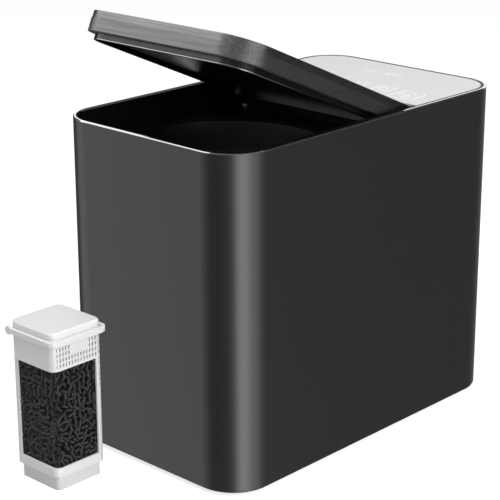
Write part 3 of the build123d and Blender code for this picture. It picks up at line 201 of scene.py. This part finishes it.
def shown_share(nodes, links, share):
    """A socket with share for camera, glossy and transmission rays, and 0 for the others."""
    path = nodes.new("ShaderNodeLightPath")
    mirrored = nodes.new("ShaderNodeMath")
    mirrored.operation = "MAXIMUM"
    links.new(path.outputs["Is Glossy Ray"], mirrored.inputs[0])
    links.new(path.outputs["Is Transmission Ray"], mirrored.inputs[1])
    gloss = nodes.new("ShaderNodeMath")
    gloss.operation = "MULTIPLY"
    gloss.inputs[1].default_value = share
    links.new(mirrored.outputs[0], gloss.inputs[0])
    total = nodes.new("ShaderNodeMath")
    total.operation = "MULTIPLY_ADD"
    total.inputs[1].default_value = share
    links.new(path.outputs["Is Camera Ray"], total.inputs[0])
    links.new(gloss.outputs[0], total.inputs[2])
    return total.outputs[0]


def make_world():
    """White where it is seen and mirrored, and a faint even light for the rest."""
    world = bpy.data.worlds.new("studio")
    bpy.context.scene.world = world
    world.use_nodes = True
    nodes, links = world.node_tree.nodes, world.node_tree.links
    nodes.clear()
    shown = nodes.new("ShaderNodeBackground")
    shown.inputs["Color"].default_value = WHITE
    shown.inputs["Strength"].default_value = 1.0
    ambient = nodes.new("ShaderNodeBackground")
    ambient.inputs["Color"].default_value = AMBIENT_TONE
    ambient.inputs["Strength"].default_value = AMBIENT
    mix = nodes.new("ShaderNodeMixShader")
    links.new(shown_share(nodes, links, 1), mix.inputs["Fac"])
    links.new(ambient.outputs[0], mix.inputs[1])
    links.new(shown.outputs[0], mix.inputs[2])
    out = nodes.new("ShaderNodeOutputWorld")
    links.new(mix.outputs[0], out.inputs["Surface"])


def make_floor():
    """Pale paper that keeps the object's shadow."""
    points, faces = level_square(Vector((0, 0, 0)), FLOOR_HALF, FLOOR_HALF)
    mesh = bpy.data.meshes.new("floor")
    mesh.from_pydata(points, [], faces)
    floor = bpy.data.objects.new("floor", mesh)
    bpy.context.scene.collection.objects.link(floor)
    material = bpy.data.materials.new("floor_paper")
    material.use_nodes = True
    nodes, links = material.node_tree.nodes, material.node_tree.links
    nodes.clear()
    paper = nodes.new("ShaderNodeBsdfDiffuse")
    paper.inputs["Color"].default_value = (FLOOR_PAPER, FLOOR_PAPER, FLOOR_PAPER, 1)
    glow = nodes.new("ShaderNodeEmission")
    links.new(shown_share(nodes, links, FLOOR_GLOW), glow.inputs["Strength"])
    both = nodes.new("ShaderNodeAddShader")
    links.new(paper.outputs[0], both.inputs[0])
    links.new(glow.outputs[0], both.inputs[1])
    out = nodes.new("ShaderNodeOutputMaterial")
    links.new(both.outputs[0], out.inputs["Surface"])
    mesh.materials.append(material)
    floor.visible_glossy = False


def make_studio():
    bpy.context.scene.view_settings.view_transform = "Standard"
    make_world()
    make_floor()
    for name, sizes in LAMPS.items():
        make_lamp(name, *sizes)
    for name, sizes in CARDS.items():
        make_card(name, *sizes)
    make_roof_flag()


# ---- materials ----
# a Mix node's inputs for factor 0 and factor 1, and its result, by the kind of data
MIX_SOCKETS = {"RGBA": (6, 7, 2), "FLOAT": (2, 3, 0)}
NOISE_DETAIL = 3.0
TONE_STOPS = (0.3, 0.7)
ROUGH_SPREAD = 0.06
ROUGH_LEAST = 0.02
COAT_ROUGH = 0.08
BUMP_DISTANCE = 0.2 * MM
RIM_Z = 0.3047
RIM_FADE = 0.1 * MM
RIM_TONE = (0.86, 0.86, 0.87, 1)
RIM_ROUGH = 0.12


def blended(nodes, links, kind, mask, below, above):
    """The socket below where mask is 0, and the plain value above where it is 1."""
    mix = nodes.new("ShaderNodeMix")
    mix.data_type = kind
    first, second, result = MIX_SOCKETS[kind]
    links.new(mask, mix.inputs["Factor"])
    links.new(below, mix.inputs[first])
    mix.inputs[second].default_value = above
    return mix.outputs[result]


def varied_tone(nodes, links, noise, color, shade):
    """A colour that goes from darker to lighter by the share shade with the noise."""
    ramp = nodes.new("ShaderNodeValToRGB")
    darker = [max(0.0, c * (1 - shade)) for c in color]
    lighter = [min(1.0, c * (1 + shade)) for c in color]
    for stop, position, tone in zip(ramp.color_ramp.elements, TONE_STOPS, (darker, lighter)):
        stop.position = position
        stop.color = (*tone, 1)
    links.new(noise.outputs["Fac"], ramp.inputs["Fac"])
    return ramp.outputs["Color"]


def varied_roughness(nodes, links, noise, rough):
    spread = nodes.new("ShaderNodeMapRange")
    spread.inputs["To Min"].default_value = max(ROUGH_LEAST, rough - ROUGH_SPREAD)
    spread.inputs["To Max"].default_value = min(1.0, rough + ROUGH_SPREAD)
    links.new(noise.outputs["Fac"], spread.inputs["Value"])
    return spread.outputs["Result"]


def surface(name, color, rough, metal=0.0, specular=0.5, coat=0.0, shade=0.12, scale=400.0,
            stretch=(1, 1, 1), bump=0.15, sheen=0.0, bare_above=None):
    """Principled surface whose colour, roughness and bump all vary with the same fine noise.
    Above the height bare_above the coat is gone and the polished metal edge shows."""
    material = bpy.data.materials.new(name)
    material.use_nodes = True
    nodes, links = material.node_tree.nodes, material.node_tree.links
    shader = nodes["Principled BSDF"]
    shader.inputs["Metallic"].default_value = metal
    shader.inputs["Specular IOR Level"].default_value = specular
    shader.inputs["Coat Weight"].default_value = coat
    shader.inputs["Coat Roughness"].default_value = COAT_ROUGH
    shader.inputs["Sheen Weight"].default_value = sheen
    place = nodes.new("ShaderNodeTexCoord")
    mapping = nodes.new("ShaderNodeMapping")
    mapping.inputs["Scale"].default_value = stretch
    links.new(place.outputs["Object"], mapping.inputs["Vector"])
    noise = nodes.new("ShaderNodeTexNoise")
    noise.inputs["Scale"].default_value = scale
    noise.inputs["Detail"].default_value = NOISE_DETAIL
    links.new(mapping.outputs["Vector"], noise.inputs["Vector"])
    tone = varied_tone(nodes, links, noise, color, shade)
    gloss = varied_roughness(nodes, links, noise, rough)
    if bare_above:
        split = nodes.new("ShaderNodeSeparateXYZ")
        links.new(place.outputs["Object"], split.inputs[0])
        bare = nodes.new("ShaderNodeMapRange")
        bare.inputs["From Min"].default_value = bare_above
        bare.inputs["From Max"].default_value = bare_above + RIM_FADE
        links.new(split.outputs["Z"], bare.inputs["Value"])
        tone = blended(nodes, links, "RGBA", bare.outputs[0], tone, RIM_TONE)
        gloss = blended(nodes, links, "FLOAT", bare.outputs[0], gloss, RIM_ROUGH)
        links.new(bare.outputs[0], shader.inputs["Metallic"])
    links.new(tone, shader.inputs["Base Color"])
    links.new(gloss, shader.inputs["Roughness"])
    height = nodes.new("ShaderNodeBump")
    height.inputs["Strength"].default_value = bump
    height.inputs["Distance"].default_value = BUMP_DISTANCE
    links.new(noise.outputs["Fac"], height.inputs["Height"])
    links.new(height.outputs["Normal"], shader.inputs["Normal"])
    return material


def paint_shade_inwards(material, middle, half, reach):
    """Painted shade: fades the colour to black over the distance reach, in from the sides of an upright
    square block.
    """
    nodes, links = material.node_tree.nodes, material.node_tree.links
    tone = nodes["Principled BSDF"].inputs["Base Color"]
    place = nodes.new("ShaderNodeTexCoord")
    centred = nodes.new("ShaderNodeVectorMath")
    centred.operation = "SUBTRACT"
    centred.inputs[1].default_value = middle
    links.new(place.outputs["Object"], centred.inputs[0])
    spread = nodes.new("ShaderNodeVectorMath")
    spread.operation = "ABSOLUTE"
    links.new(centred.outputs[0], spread.inputs[0])
    split = nodes.new("ShaderNodeSeparateXYZ")
    links.new(spread.outputs[0], split.inputs[0])
    outward = nodes.new("ShaderNodeMath")
    outward.operation = "MAXIMUM"
    links.new(split.outputs["X"], outward.inputs[0])
    links.new(split.outputs["Y"], outward.inputs[1])
    shadow = nodes.new("ShaderNodeMapRange")
    shadow.inputs["From Min"].default_value = half - reach
    shadow.inputs["From Max"].default_value = half
    shadow.inputs["To Min"].default_value = 1
    shadow.inputs["To Max"].default_value = 0
    links.new(outward.outputs[0], shadow.inputs["Value"])
    links.new(blended(nodes, links, "RGBA", shadow.outputs[0], tone.links[0].from_socket, BLACK), tone)


FINISHES = {
    # one for each material slot of the CAD nodes
    "shell_coat": dict(color=(0.009, 0.009, 0.0093), rough=0.35, scale=2500, bump=0.05, bare_above=RIM_Z),
    "base_black": dict(color=(0.012, 0.012, 0.012), rough=0.6, scale=1500, bump=0.3),
    "inner_black": dict(color=(0.004, 0.004, 0.0042), rough=0.45, specular=0.08, scale=1500, bump=0.2),
    "foot_rubber": dict(color=(0.02, 0.02, 0.02), rough=0.8, scale=1200, bump=0.4),
    "seal_rubber": dict(color=(0.03, 0.03, 0.032), rough=0.55, scale=1200, bump=0.3),
    "zinc_steel": dict(color=(0.55, 0.55, 0.56), rough=0.3, metal=1.0, scale=900, bump=0.1),
    "post_metal": dict(color=(0.6, 0.6, 0.61), rough=0.35, metal=1.0, scale=600, stretch=(1, 1, 0.05),
                       bump=0.1),
    "panel_silver": dict(color=(0.72, 0.72, 0.722), rough=0.35, specular=0.15, scale=3000, bump=0.03,
                         shade=0.03),
    "board_green": dict(color=(0.03, 0.16, 0.07), rough=0.4, scale=700, bump=0.2),
    "part_black": dict(color=(0.03, 0.03, 0.035), rough=0.4, scale=900, bump=0.1),
    "lid_brushed": dict(color=(0.085, 0.085, 0.086), rough=0.33, metal=1.0, scale=700, stretch=(0.02, 1, 1),
                        bump=0.25, shade=0.3),
    "lid_gloss": dict(color=(0.004, 0.004, 0.0043), rough=0.24, specular=0.16, scale=300, bump=0.03),
    "magnet_metal": dict(color=(0.5, 0.5, 0.52), rough=0.25, metal=1.0),
    "washer_nylon": dict(color=(0.8, 0.78, 0.7), rough=0.5),
    "chamber_metal": dict(color=(0.09, 0.09, 0.093), rough=0.38, metal=1.0, scale=500, stretch=(1, 1, 0.05)),
    "felt": dict(color=(0.72, 0.7, 0.66), rough=0.95, scale=900, bump=0.8, sheen=0.3),
    "element_steel": dict(color=(0.25, 0.22, 0.2), rough=0.4, metal=1.0),
    "fuse_ceramic": dict(color=(0.85, 0.84, 0.8), rough=0.5),
    "pot_coat": dict(color=(0.02, 0.02, 0.021), rough=0.42, scale=1800, bump=0.35, shade=0.4),
    "blade_steel": dict(color=(0.6, 0.6, 0.6), rough=0.28, metal=1.0, scale=900, stretch=(1, 0.1, 1)),
    "bronze": dict(color=(0.55, 0.38, 0.2), rough=0.35, metal=1.0),
    "gear_steel": dict(color=(0.38, 0.38, 0.39), rough=0.3, metal=1.0),
    "gearbox_metal": dict(color=(0.42, 0.42, 0.43), rough=0.5, metal=1.0, scale=600, bump=0.5),
    "motor_paint": dict(color=(0.05, 0.05, 0.055), rough=0.35, coat=0.3),
    "socket_black": dict(color=(0.02, 0.02, 0.02), rough=0.3, scale=900),
    "cartridge_white": dict(color=(0.85, 0.85, 0.855), rough=0.38, specular=0.35, scale=900, bump=0.06,
                            shade=0.02),
    "cup_white": dict(color=(0.76, 0.76, 0.77), rough=0.4, specular=0.35, scale=900, bump=0.06, shade=0.02),
    "carbon": dict(color=(0.062, 0.062, 0.063), rough=0.45, specular=0.06, scale=1800, bump=0.3, shade=0.3),
    # for single pieces
    "panel_print": dict(color=(0.93, 0.93, 0.93), rough=0.5, specular=0.3, scale=2000, shade=0.03),
    "lid_skirt": dict(color=(0.085, 0.085, 0.086), rough=0.43, metal=1.0, scale=700, stretch=(0.02, 1, 1),
                      bump=0.25, shade=0.3),
    "lip_polish": dict(color=(0.22, 0.22, 0.224), rough=0.22, metal=1.0, scale=900, bump=0.05),
}
materials = {name: surface(name, **finish) for name, finish in FINISHES.items()}


def dress_nodes():
    """Gives every CAD node the material of its slot, and the lid's cover its own satin finish."""
    for part in frame["record"]["subparts"]:
        piece = frame["nodes"][part["node"]]
        piece.data.materials.clear()
        piece.data.materials.append(materials[part["material_slot"]])
    frame["nodes"]["lid_cover"].data.materials[0] = materials["lid_skirt"]


# ---- softened edges on CAD nodes ----
SOFT_ANGLE = 40
SOFT_SEGMENTS = 2
WELD_GAP = 1e-6
# node: width of its bevel, in mm
SOFT_EDGES = {
    "cartridge_frame": 0.35,
    "cartridge_base": 0.4,
    "cartridge_cap": 0.5,
    "cartridge_handle": 0.5,
}


def soften(node, width):
    """Rounds a node's sharp edges with modifiers, and leaves its mesh as it is."""
    piece = frame["nodes"][node]
    weld = piece.modifiers.new("weld", "WELD")
    weld.merge_threshold = WELD_GAP
    bevel = piece.modifiers.new("bevel", "BEVEL")
    bevel.width = width * MM
    bevel.segments = SOFT_SEGMENTS
    bevel.limit_method = "ANGLE"
    bevel.angle_limit = math.radians(SOFT_ANGLE)
    bevel.harden_normals = True
    bevel.use_clamp_overlap = True


# ---- new pieces ----
def add_piece(name, verts, faces, body, material, smooth=False):
    mesh = bpy.data.meshes.new(name)
    mesh.from_pydata(verts, [], faces)
    mesh.polygons.foreach_set("use_smooth", [smooth] * len(mesh.polygons))
    mesh.materials.append(material)
    piece = bpy.data.objects.new(name, mesh)
    bpy.context.scene.collection.objects.link(piece)
    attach(piece, body)
    return piece


# ---- the cartridge's carbon ----
SEED = 11
PELLET_R = 1.0 * MM
PELLET_SIDES = 8
PELLET_BEVEL = 0.25 * MM
PELLET_END = 0.72  # the end face's radius, as a share of the rod's
PELLET_LENGTHS = (5.0, 8.0)  # mm
PELLET_TILT = 0.22
PELLET_SHIFT = 1.0  # mm
PELLET_CLEAR = PELLET_R * 0.5
PELLET_LAYERS = (1.1 * MM, 3.3 * MM, 5.2 * MM)
PELLET_PITCH = 5.0 * MM
CARBON_CORNER = 3.6 * MM
# how far in from the block's sides the carbon's painted shade reaches black
CARBON_SHADE_REACH = 3.0 * MM
CORE_DEPTH = 4.0 * MM
CORE_LIFT = 1.0 * MM
CORE_DROP = 3.0 * MM
CORNER_STEPS = 6
TOUCH = 0.01 * MM
OUTWARDS = ((0, -1, 0), (1, 0, 0), (0, 1, 0), (-1, 0, 0))


def inside_rounded(x, y, half, corner):
    """True where (x, y) lies inside a square of that half width with rounded corners."""
    dx = max(abs(x) - (half - corner), 0)
    dy = max(abs(y) - (half - corner), 0)
    return math.hypot(dx, dy) <= corner


def add_pellet(verts, faces, place, along, length):
    """A short rod with bevelled ends."""
    side = along.orthogonal().normalized()
    other = along.cross(side)
    first = len(verts)
    shoulder = length / 2 - PELLET_BEVEL
    stations = [(-length / 2, PELLET_END), (-shoulder, 1), (shoulder, 1), (length / 2, PELLET_END)]
    for t, share in stations:
        for k in range(PELLET_SIDES):
            angle = 2 * math.pi * k / PELLET_SIDES
            spoke = side * math.cos(angle) + other * math.sin(angle)
            verts.append(place + along * t + spoke * PELLET_R * share)
    for ring in range(len(stations) - 1):
        for k in range(PELLET_SIDES):
            a = first + ring * PELLET_SIDES + k
            b = first + ring * PELLET_SIDES + (k + 1) % PELLET_SIDES
            faces.append((a, b, b + PELLET_SIDES, a + PELLET_SIDES))
    last = first + (len(stations) - 1) * PELLET_SIDES
    faces.append(tuple(range(first + PELLET_SIDES - 1, first - 1, -1)))
    faces.append(tuple(range(last, last + PELLET_SIDES)))


def add_core(verts, faces, middle, half, low, high):
    """Rounded core behind the pellets, black from the painted shade that fades the carbon inwards."""
    first = len(verts)
    outline = []
    for quarter in range(4):
        turn = math.radians(90 * quarter)
        cx = (half - CARBON_CORNER) * (math.cos(turn) - math.sin(turn))
        cy = (half - CARBON_CORNER) * (math.sin(turn) + math.cos(turn))
        for k in range(CORNER_STEPS + 1):
            angle = turn + math.radians(90) * k / CORNER_STEPS
            outline.append((cx + CARBON_CORNER * math.cos(angle), cy + CARBON_CORNER * math.sin(angle)))
    for z in (low, high):
        verts.extend(Vector((middle.x + x, middle.y + y, z)) for x, y in outline)
    n = len(outline)
    faces.extend((first + k, first + (k + 1) % n, first + n + (k + 1) % n, first + n + k) for k in range(n))
    faces.append(tuple(range(first + n - 1, first - 1, -1)))
    faces.append(tuple(range(first + n, first + 2 * n)))


def carbon_pellets():
    """Extruded carbon rods packed round a core, behind the cartridge's windows and its slots."""
    draw = random.Random(SEED)
    low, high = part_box("carbon_block")
    middle = (low + high) / 2
    half = (high.x - low.x) / 2
    room = half - PELLET_R
    columns = int(2 * room / PELLET_PITCH)
    rows = int((high.z - low.z) / PELLET_PITCH)
    verts, faces = [], []
    add_core(verts, faces, middle, half - CORE_DEPTH, low.z + CORE_LIFT, high.z - CORE_DROP)
    spots = product(OUTWARDS, PELLET_LAYERS, range(rows + 1), range(columns + 1))
    for outward, depth, row, column in spots:
        normal = Vector(outward)
        level = Vector((-normal.y, normal.x, 0))
        length = draw.uniform(*PELLET_LENGTHS) * MM
        slope = draw.uniform(0, math.pi)
        tilt = draw.uniform(-PELLET_TILT, PELLET_TILT)
        along = (level * math.cos(slope) + UP * math.sin(slope) + normal * tilt).normalized()
        sideways = (column / columns * 2 - 1) * room + draw.uniform(-PELLET_SHIFT, PELLET_SHIFT) * MM
        z = low.z + (high.z - low.z) * row / rows + draw.uniform(-PELLET_SHIFT, PELLET_SHIFT) * MM
        # the rod is moved until its whole length lies inside the block
        spread = length / 2 + PELLET_R
        top = high.z - spread * abs(along.z) - PELLET_CLEAR
        bottom = low.z + spread * abs(along.z) + PELLET_CLEAR
        inset = max(depth, PELLET_R + abs(along.dot(normal)) * length / 2)
        edge = room - spread * math.hypot(along.x, along.y)
        place = Vector((middle.x, middle.y, min(max(z, bottom), top))) + normal * (half - inset)
        place += level * min(max(sideways, -edge), edge)
        ends = [place + along * length / 2 * sign for sign in (-1, 1)]
        if all(inside_rounded(e.x - middle.x, e.y - middle.y, room + TOUCH, CARBON_CORNER) for e in ends):
            add_pellet(verts, faces, place, along, length)
    # painted shade: the carbon darkens to black towards its middle, for the shade deep among the rods
    paint_shade_inwards(materials["carbon"], middle, half, CARBON_SHADE_REACH)
    piece = add_piece("carbon_pellets", verts, faces, "cartridge", materials["carbon"])
    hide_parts("carbon_block")
    piece.visible_glossy = False


# ---- print on the control panel, in mm in the machine's own frame ----
PANEL_Z = 305.3 * MM
PANEL_CORNER = 34.3
MARK_H = 0.12 * MM
ARC_STEPS = 10


def on_panel(x, y):
    """A place in the shared frame, from the machine's own x and y."""
    return Vector((x * MM, (y + SET_Y) * MM, 0))


def arc(cx, cy, radius, start, end, steps=ARC_STEPS):
    angles = [math.radians(start + (end - start) * k / steps) for k in range(steps + 1)]
    return [(cx + radius * math.cos(a), cy + radius * math.sin(a)) for a in angles]


def rounded_square(cx, cy, half, corner):
    points = []
    for quarter, (sx, sy) in enumerate(((1, 1), (-1, 1), (-1, -1), (1, -1))):
        middle_x, middle_y = cx + sx * (half - corner), cy + sy * (half - corner)
        points += arc(middle_x, middle_y, corner, 90 * quarter, 90 * quarter + 90)
    return points


def add_stroke(verts, faces, points, width, closed=False, low=PANEL_Z, high=PANEL_Z + MARK_H):
    """A raised line of constant width along the points."""
    line = [on_panel(x, y) for x, y in points]
    n = len(line)
    sides = []
    for k, here in enumerate(line):
        before = line[k - 1] if k or closed else here
        after = line[(k + 1) % n] if k < n - 1 or closed else here
        ahead = (after - before).normalized()
        across = Vector((-ahead.y, ahead.x, 0)) * width * MM / 2
        sides.append((here + across, here - across))
    first = len(verts)
    for left, right in sides:
        for side, z in ((left, low), (left, high), (right, high), (right, low)):
            verts.append(Vector((side.x, side.y, z)))
    for k in range(n if closed else n - 1):
        a = first + 4 * k
        b = first + 4 * ((k + 1) % n)
        for i in range(4):
            j = (i + 1) % 4
            faces.append((a + i, a + j, b + j, b + i))
    if not closed:
        last = first + 4 * (n - 1)
        faces.append((first + 3, first + 2, first + 1, first))
        faces.append((last, last + 1, last + 2, last + 3))


# points of each line, and whether it is closed
SYMBOL_LINE = 1.5
SYMBOLS = (
    # light: a short bar with a curve over it
    ([(-20.5, 102), (-12.5, 102)], False),
    (arc(-16.5, 103.6, 3.4, 0, 180), False),
    # power: an open ring with a bar
    (arc(10, 97, 6, 120, 420, 24), False),
    ([(10, 99.5), (10, 104)], False),
    # dry: a drop in a rounded square
    (rounded_square(39, 92, 9.6, 3), True),
    (arc(39, 90, 4, 150, 390, 16) + [(39, 98)], True),
    # mix: three arcs round a hub in a larger rounded square
    (rounded_square(72, 84, 13.4, 4), True),
    (arc(72, 84, 8.2, 20, 100), False),
    (arc(72, 84, 8.2, 140, 220), False),
    (arc(72, 84, 8.2, 260, 340), False),
    (arc(72, 84, 3, 0, 324, 9), True),
)

# clock: seven-segment digits and the x of their left sides, the colon's two dashes and two round lights
CLOCK = (("0", -25), ("6", -17.5), ("3", -4), ("0", 3.5))
SEGMENTS = {"0": "abcdef", "3": "abcdg", "6": "acdefg"}
DIGIT_Y = 138
DIGIT_WIDE = 5
DIGIT_TALL = 8.6
DIGIT_LINE = 1.1
DIGIT_TRIM = DIGIT_LINE * 0.7
COLON = (-8.8, -7.6)
COLON_ROWS = (140.6, 144.2)
COLON_LINE = 1.2
LIGHTS = (12.5, 17.5)
LIGHT_Y = 142.3
LIGHT_HALF = 1.7
LIGHT_CORNER = 0.6
LIGHT_LINE = 0.8


def add_digit(verts, faces, digit, x, y):
    """Seven-segment digit whose lower left corner is at (x, y)."""
    right, half, top = x + DIGIT_WIDE, y + DIGIT_TALL / 2, y + DIGIT_TALL
    ends = {
        "a": ((x, top), (right, top)),
        "b": ((right, half), (right, top)),
        "c": ((right, y), (right, half)),
        "d": ((x, y), (right, y)),
        "e": ((x, y), (x, half)),
        "f": ((x, half), (x, top)),
        "g": ((x, half), (right, half)),
    }
    for name in SEGMENTS[digit]:
        (x0, y0), (x1, y1) = ends[name]
        if y0 == y1:
            points = [(x0 + DIGIT_TRIM, y0), (x1 - DIGIT_TRIM, y1)]
        else:
            points = [(x0, y0 + DIGIT_TRIM), (x1, y1 - DIGIT_TRIM)]
        add_stroke(verts, faces, points, DIGIT_LINE)


def panel_marks():
    """Plain generic symbols and clock digits, printed on the panel as fine raised lines."""
    verts, faces = [], []
    for points, closed in SYMBOLS:
        add_stroke(verts, faces, points, SYMBOL_LINE, closed)
    for digit, x in CLOCK:
        add_digit(verts, faces, digit, x, DIGIT_Y)
    for y in COLON_ROWS:
        add_stroke(verts, faces, [(x, y) for x in COLON], COLON_LINE)
    for x in LIGHTS:
        ring = rounded_square(x, LIGHT_Y, LIGHT_HALF, LIGHT_CORNER)
        add_stroke(verts, faces, ring, LIGHT_LINE, closed=True)
    add_piece("panel_marks", verts, faces, "machine", materials["panel_print"])


# painted shade round the control panel: a black strip in the gap and over the panel's edge
BORDER_WIDTH = 2.2
BORDER_OUT = 0.7  # how far it reaches past the panel's edge
BORDER_DOWN = 0.4 * MM
BORDER_RISE = 0.1 * MM


def panel_gap_shade():
    """Painted shade: a black line round the panel, in the narrow gap beside the rim and on the panel's own
    edge.
    """
    low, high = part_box("control_panel")
    inset = BORDER_WIDTH / 2 - BORDER_OUT
    left, right = low.x / MM + inset, high.x / MM - inset
    front, rear = low.y / MM - SET_Y, high.y / MM - SET_Y - inset
    corner = PANEL_CORNER - inset
    points = [(left, front), *reversed(arc(left + corner, rear - corner, corner, 90, 180)),
              *reversed(arc(right - corner, rear - corner, corner, 0, 90)), (right, front)]
    verts, faces = [], []
    add_stroke(verts, faces, points, BORDER_WIDTH, low=PANEL_Z - BORDER_DOWN, high=PANEL_Z + BORDER_RISE)
    # the strip is painted shade for the gap, and only borrows the seals' black finish
    add_piece("panel_gap_shade", verts, faces, "machine", materials["seal_rubber"])


# ---- edge of the lid's inner lip, on the closed lid, in mm in the machine's own frame ----
HINGE_Y = 51.2
HINGE_Z = 299.5
LID_ANGLE = math.radians(23.84)
LIP_HALF = 93.0
LIP_FRONT = -173.0
LIP_REAR = 28.0
LIP_CORNER = 23.0
LIP_Z = 281.4
EDGE_R = 0.7
EDGE_IN = 0.5
EDGE_SIDES = 12


def opened(x, y, z):
    """Where a place on the closed lid lies at rest, in the shared frame."""
    ahead, above = y - HINGE_Y, z - HINGE_Z
    turned_y = HINGE_Y + ahead * math.cos(LID_ANGLE) + above * math.sin(LID_ANGLE)
    turned_z = HINGE_Z - ahead * math.sin(LID_ANGLE) + above * math.cos(LID_ANGLE)
    return Vector((x, turned_y + SET_Y, turned_z)) * MM


def lip_edge():
    """The rounded, polished bottom edge of the lid's inner lip, which catches a thin line of light."""
    across, radius = LIP_HALF - EDGE_IN, LIP_CORNER - EDGE_IN
    middle_x, middle_y = LIP_HALF - LIP_CORNER, LIP_FRONT + LIP_CORNER
    path = [(-across, LIP_REAR), *arc(-middle_x, middle_y, radius, 180, 270),
            *arc(middle_x, middle_y, radius, 270, 360), (across, LIP_REAR)]
    verts, faces = [], []
    for k, (x, y) in enumerate(path):
        before, after = path[max(k - 1, 0)], path[min(k + 1, len(path) - 1)]
        ahead = Vector((after[0] - before[0], after[1] - before[1])).normalized()
        for i in range(EDGE_SIDES):
            angle = 2 * math.pi * i / EDGE_SIDES
            out = EDGE_R * math.cos(angle)
            z = LIP_Z + EDGE_IN + EDGE_R * math.sin(angle)
            verts.append(opened(x + ahead.y * out, y - ahead.x * out, z))
    for k in range(len(path) - 1):
        for i in range(EDGE_SIDES):
            a = k * EDGE_SIDES + i
            b = k * EDGE_SIDES + (i + 1) % EDGE_SIDES
            faces.append((a, a + EDGE_SIDES, b + EDGE_SIDES, b))
    faces.append(tuple(range(EDGE_SIDES)))
    faces.append(tuple(range(len(verts) - 1, len(verts) - EDGE_SIDES - 1, -1)))
    add_piece("lip_edge", verts, faces, "lid", materials["lip_polish"], smooth=True)


make_camera()
make_studio()
dress_nodes()
carbon_pellets()
panel_marks()
panel_gap_shade()
lip_edge()
for node, width in SOFT_EDGES.items():
    frame["nodes"][node].visible_glossy = False
    soften(node, width)
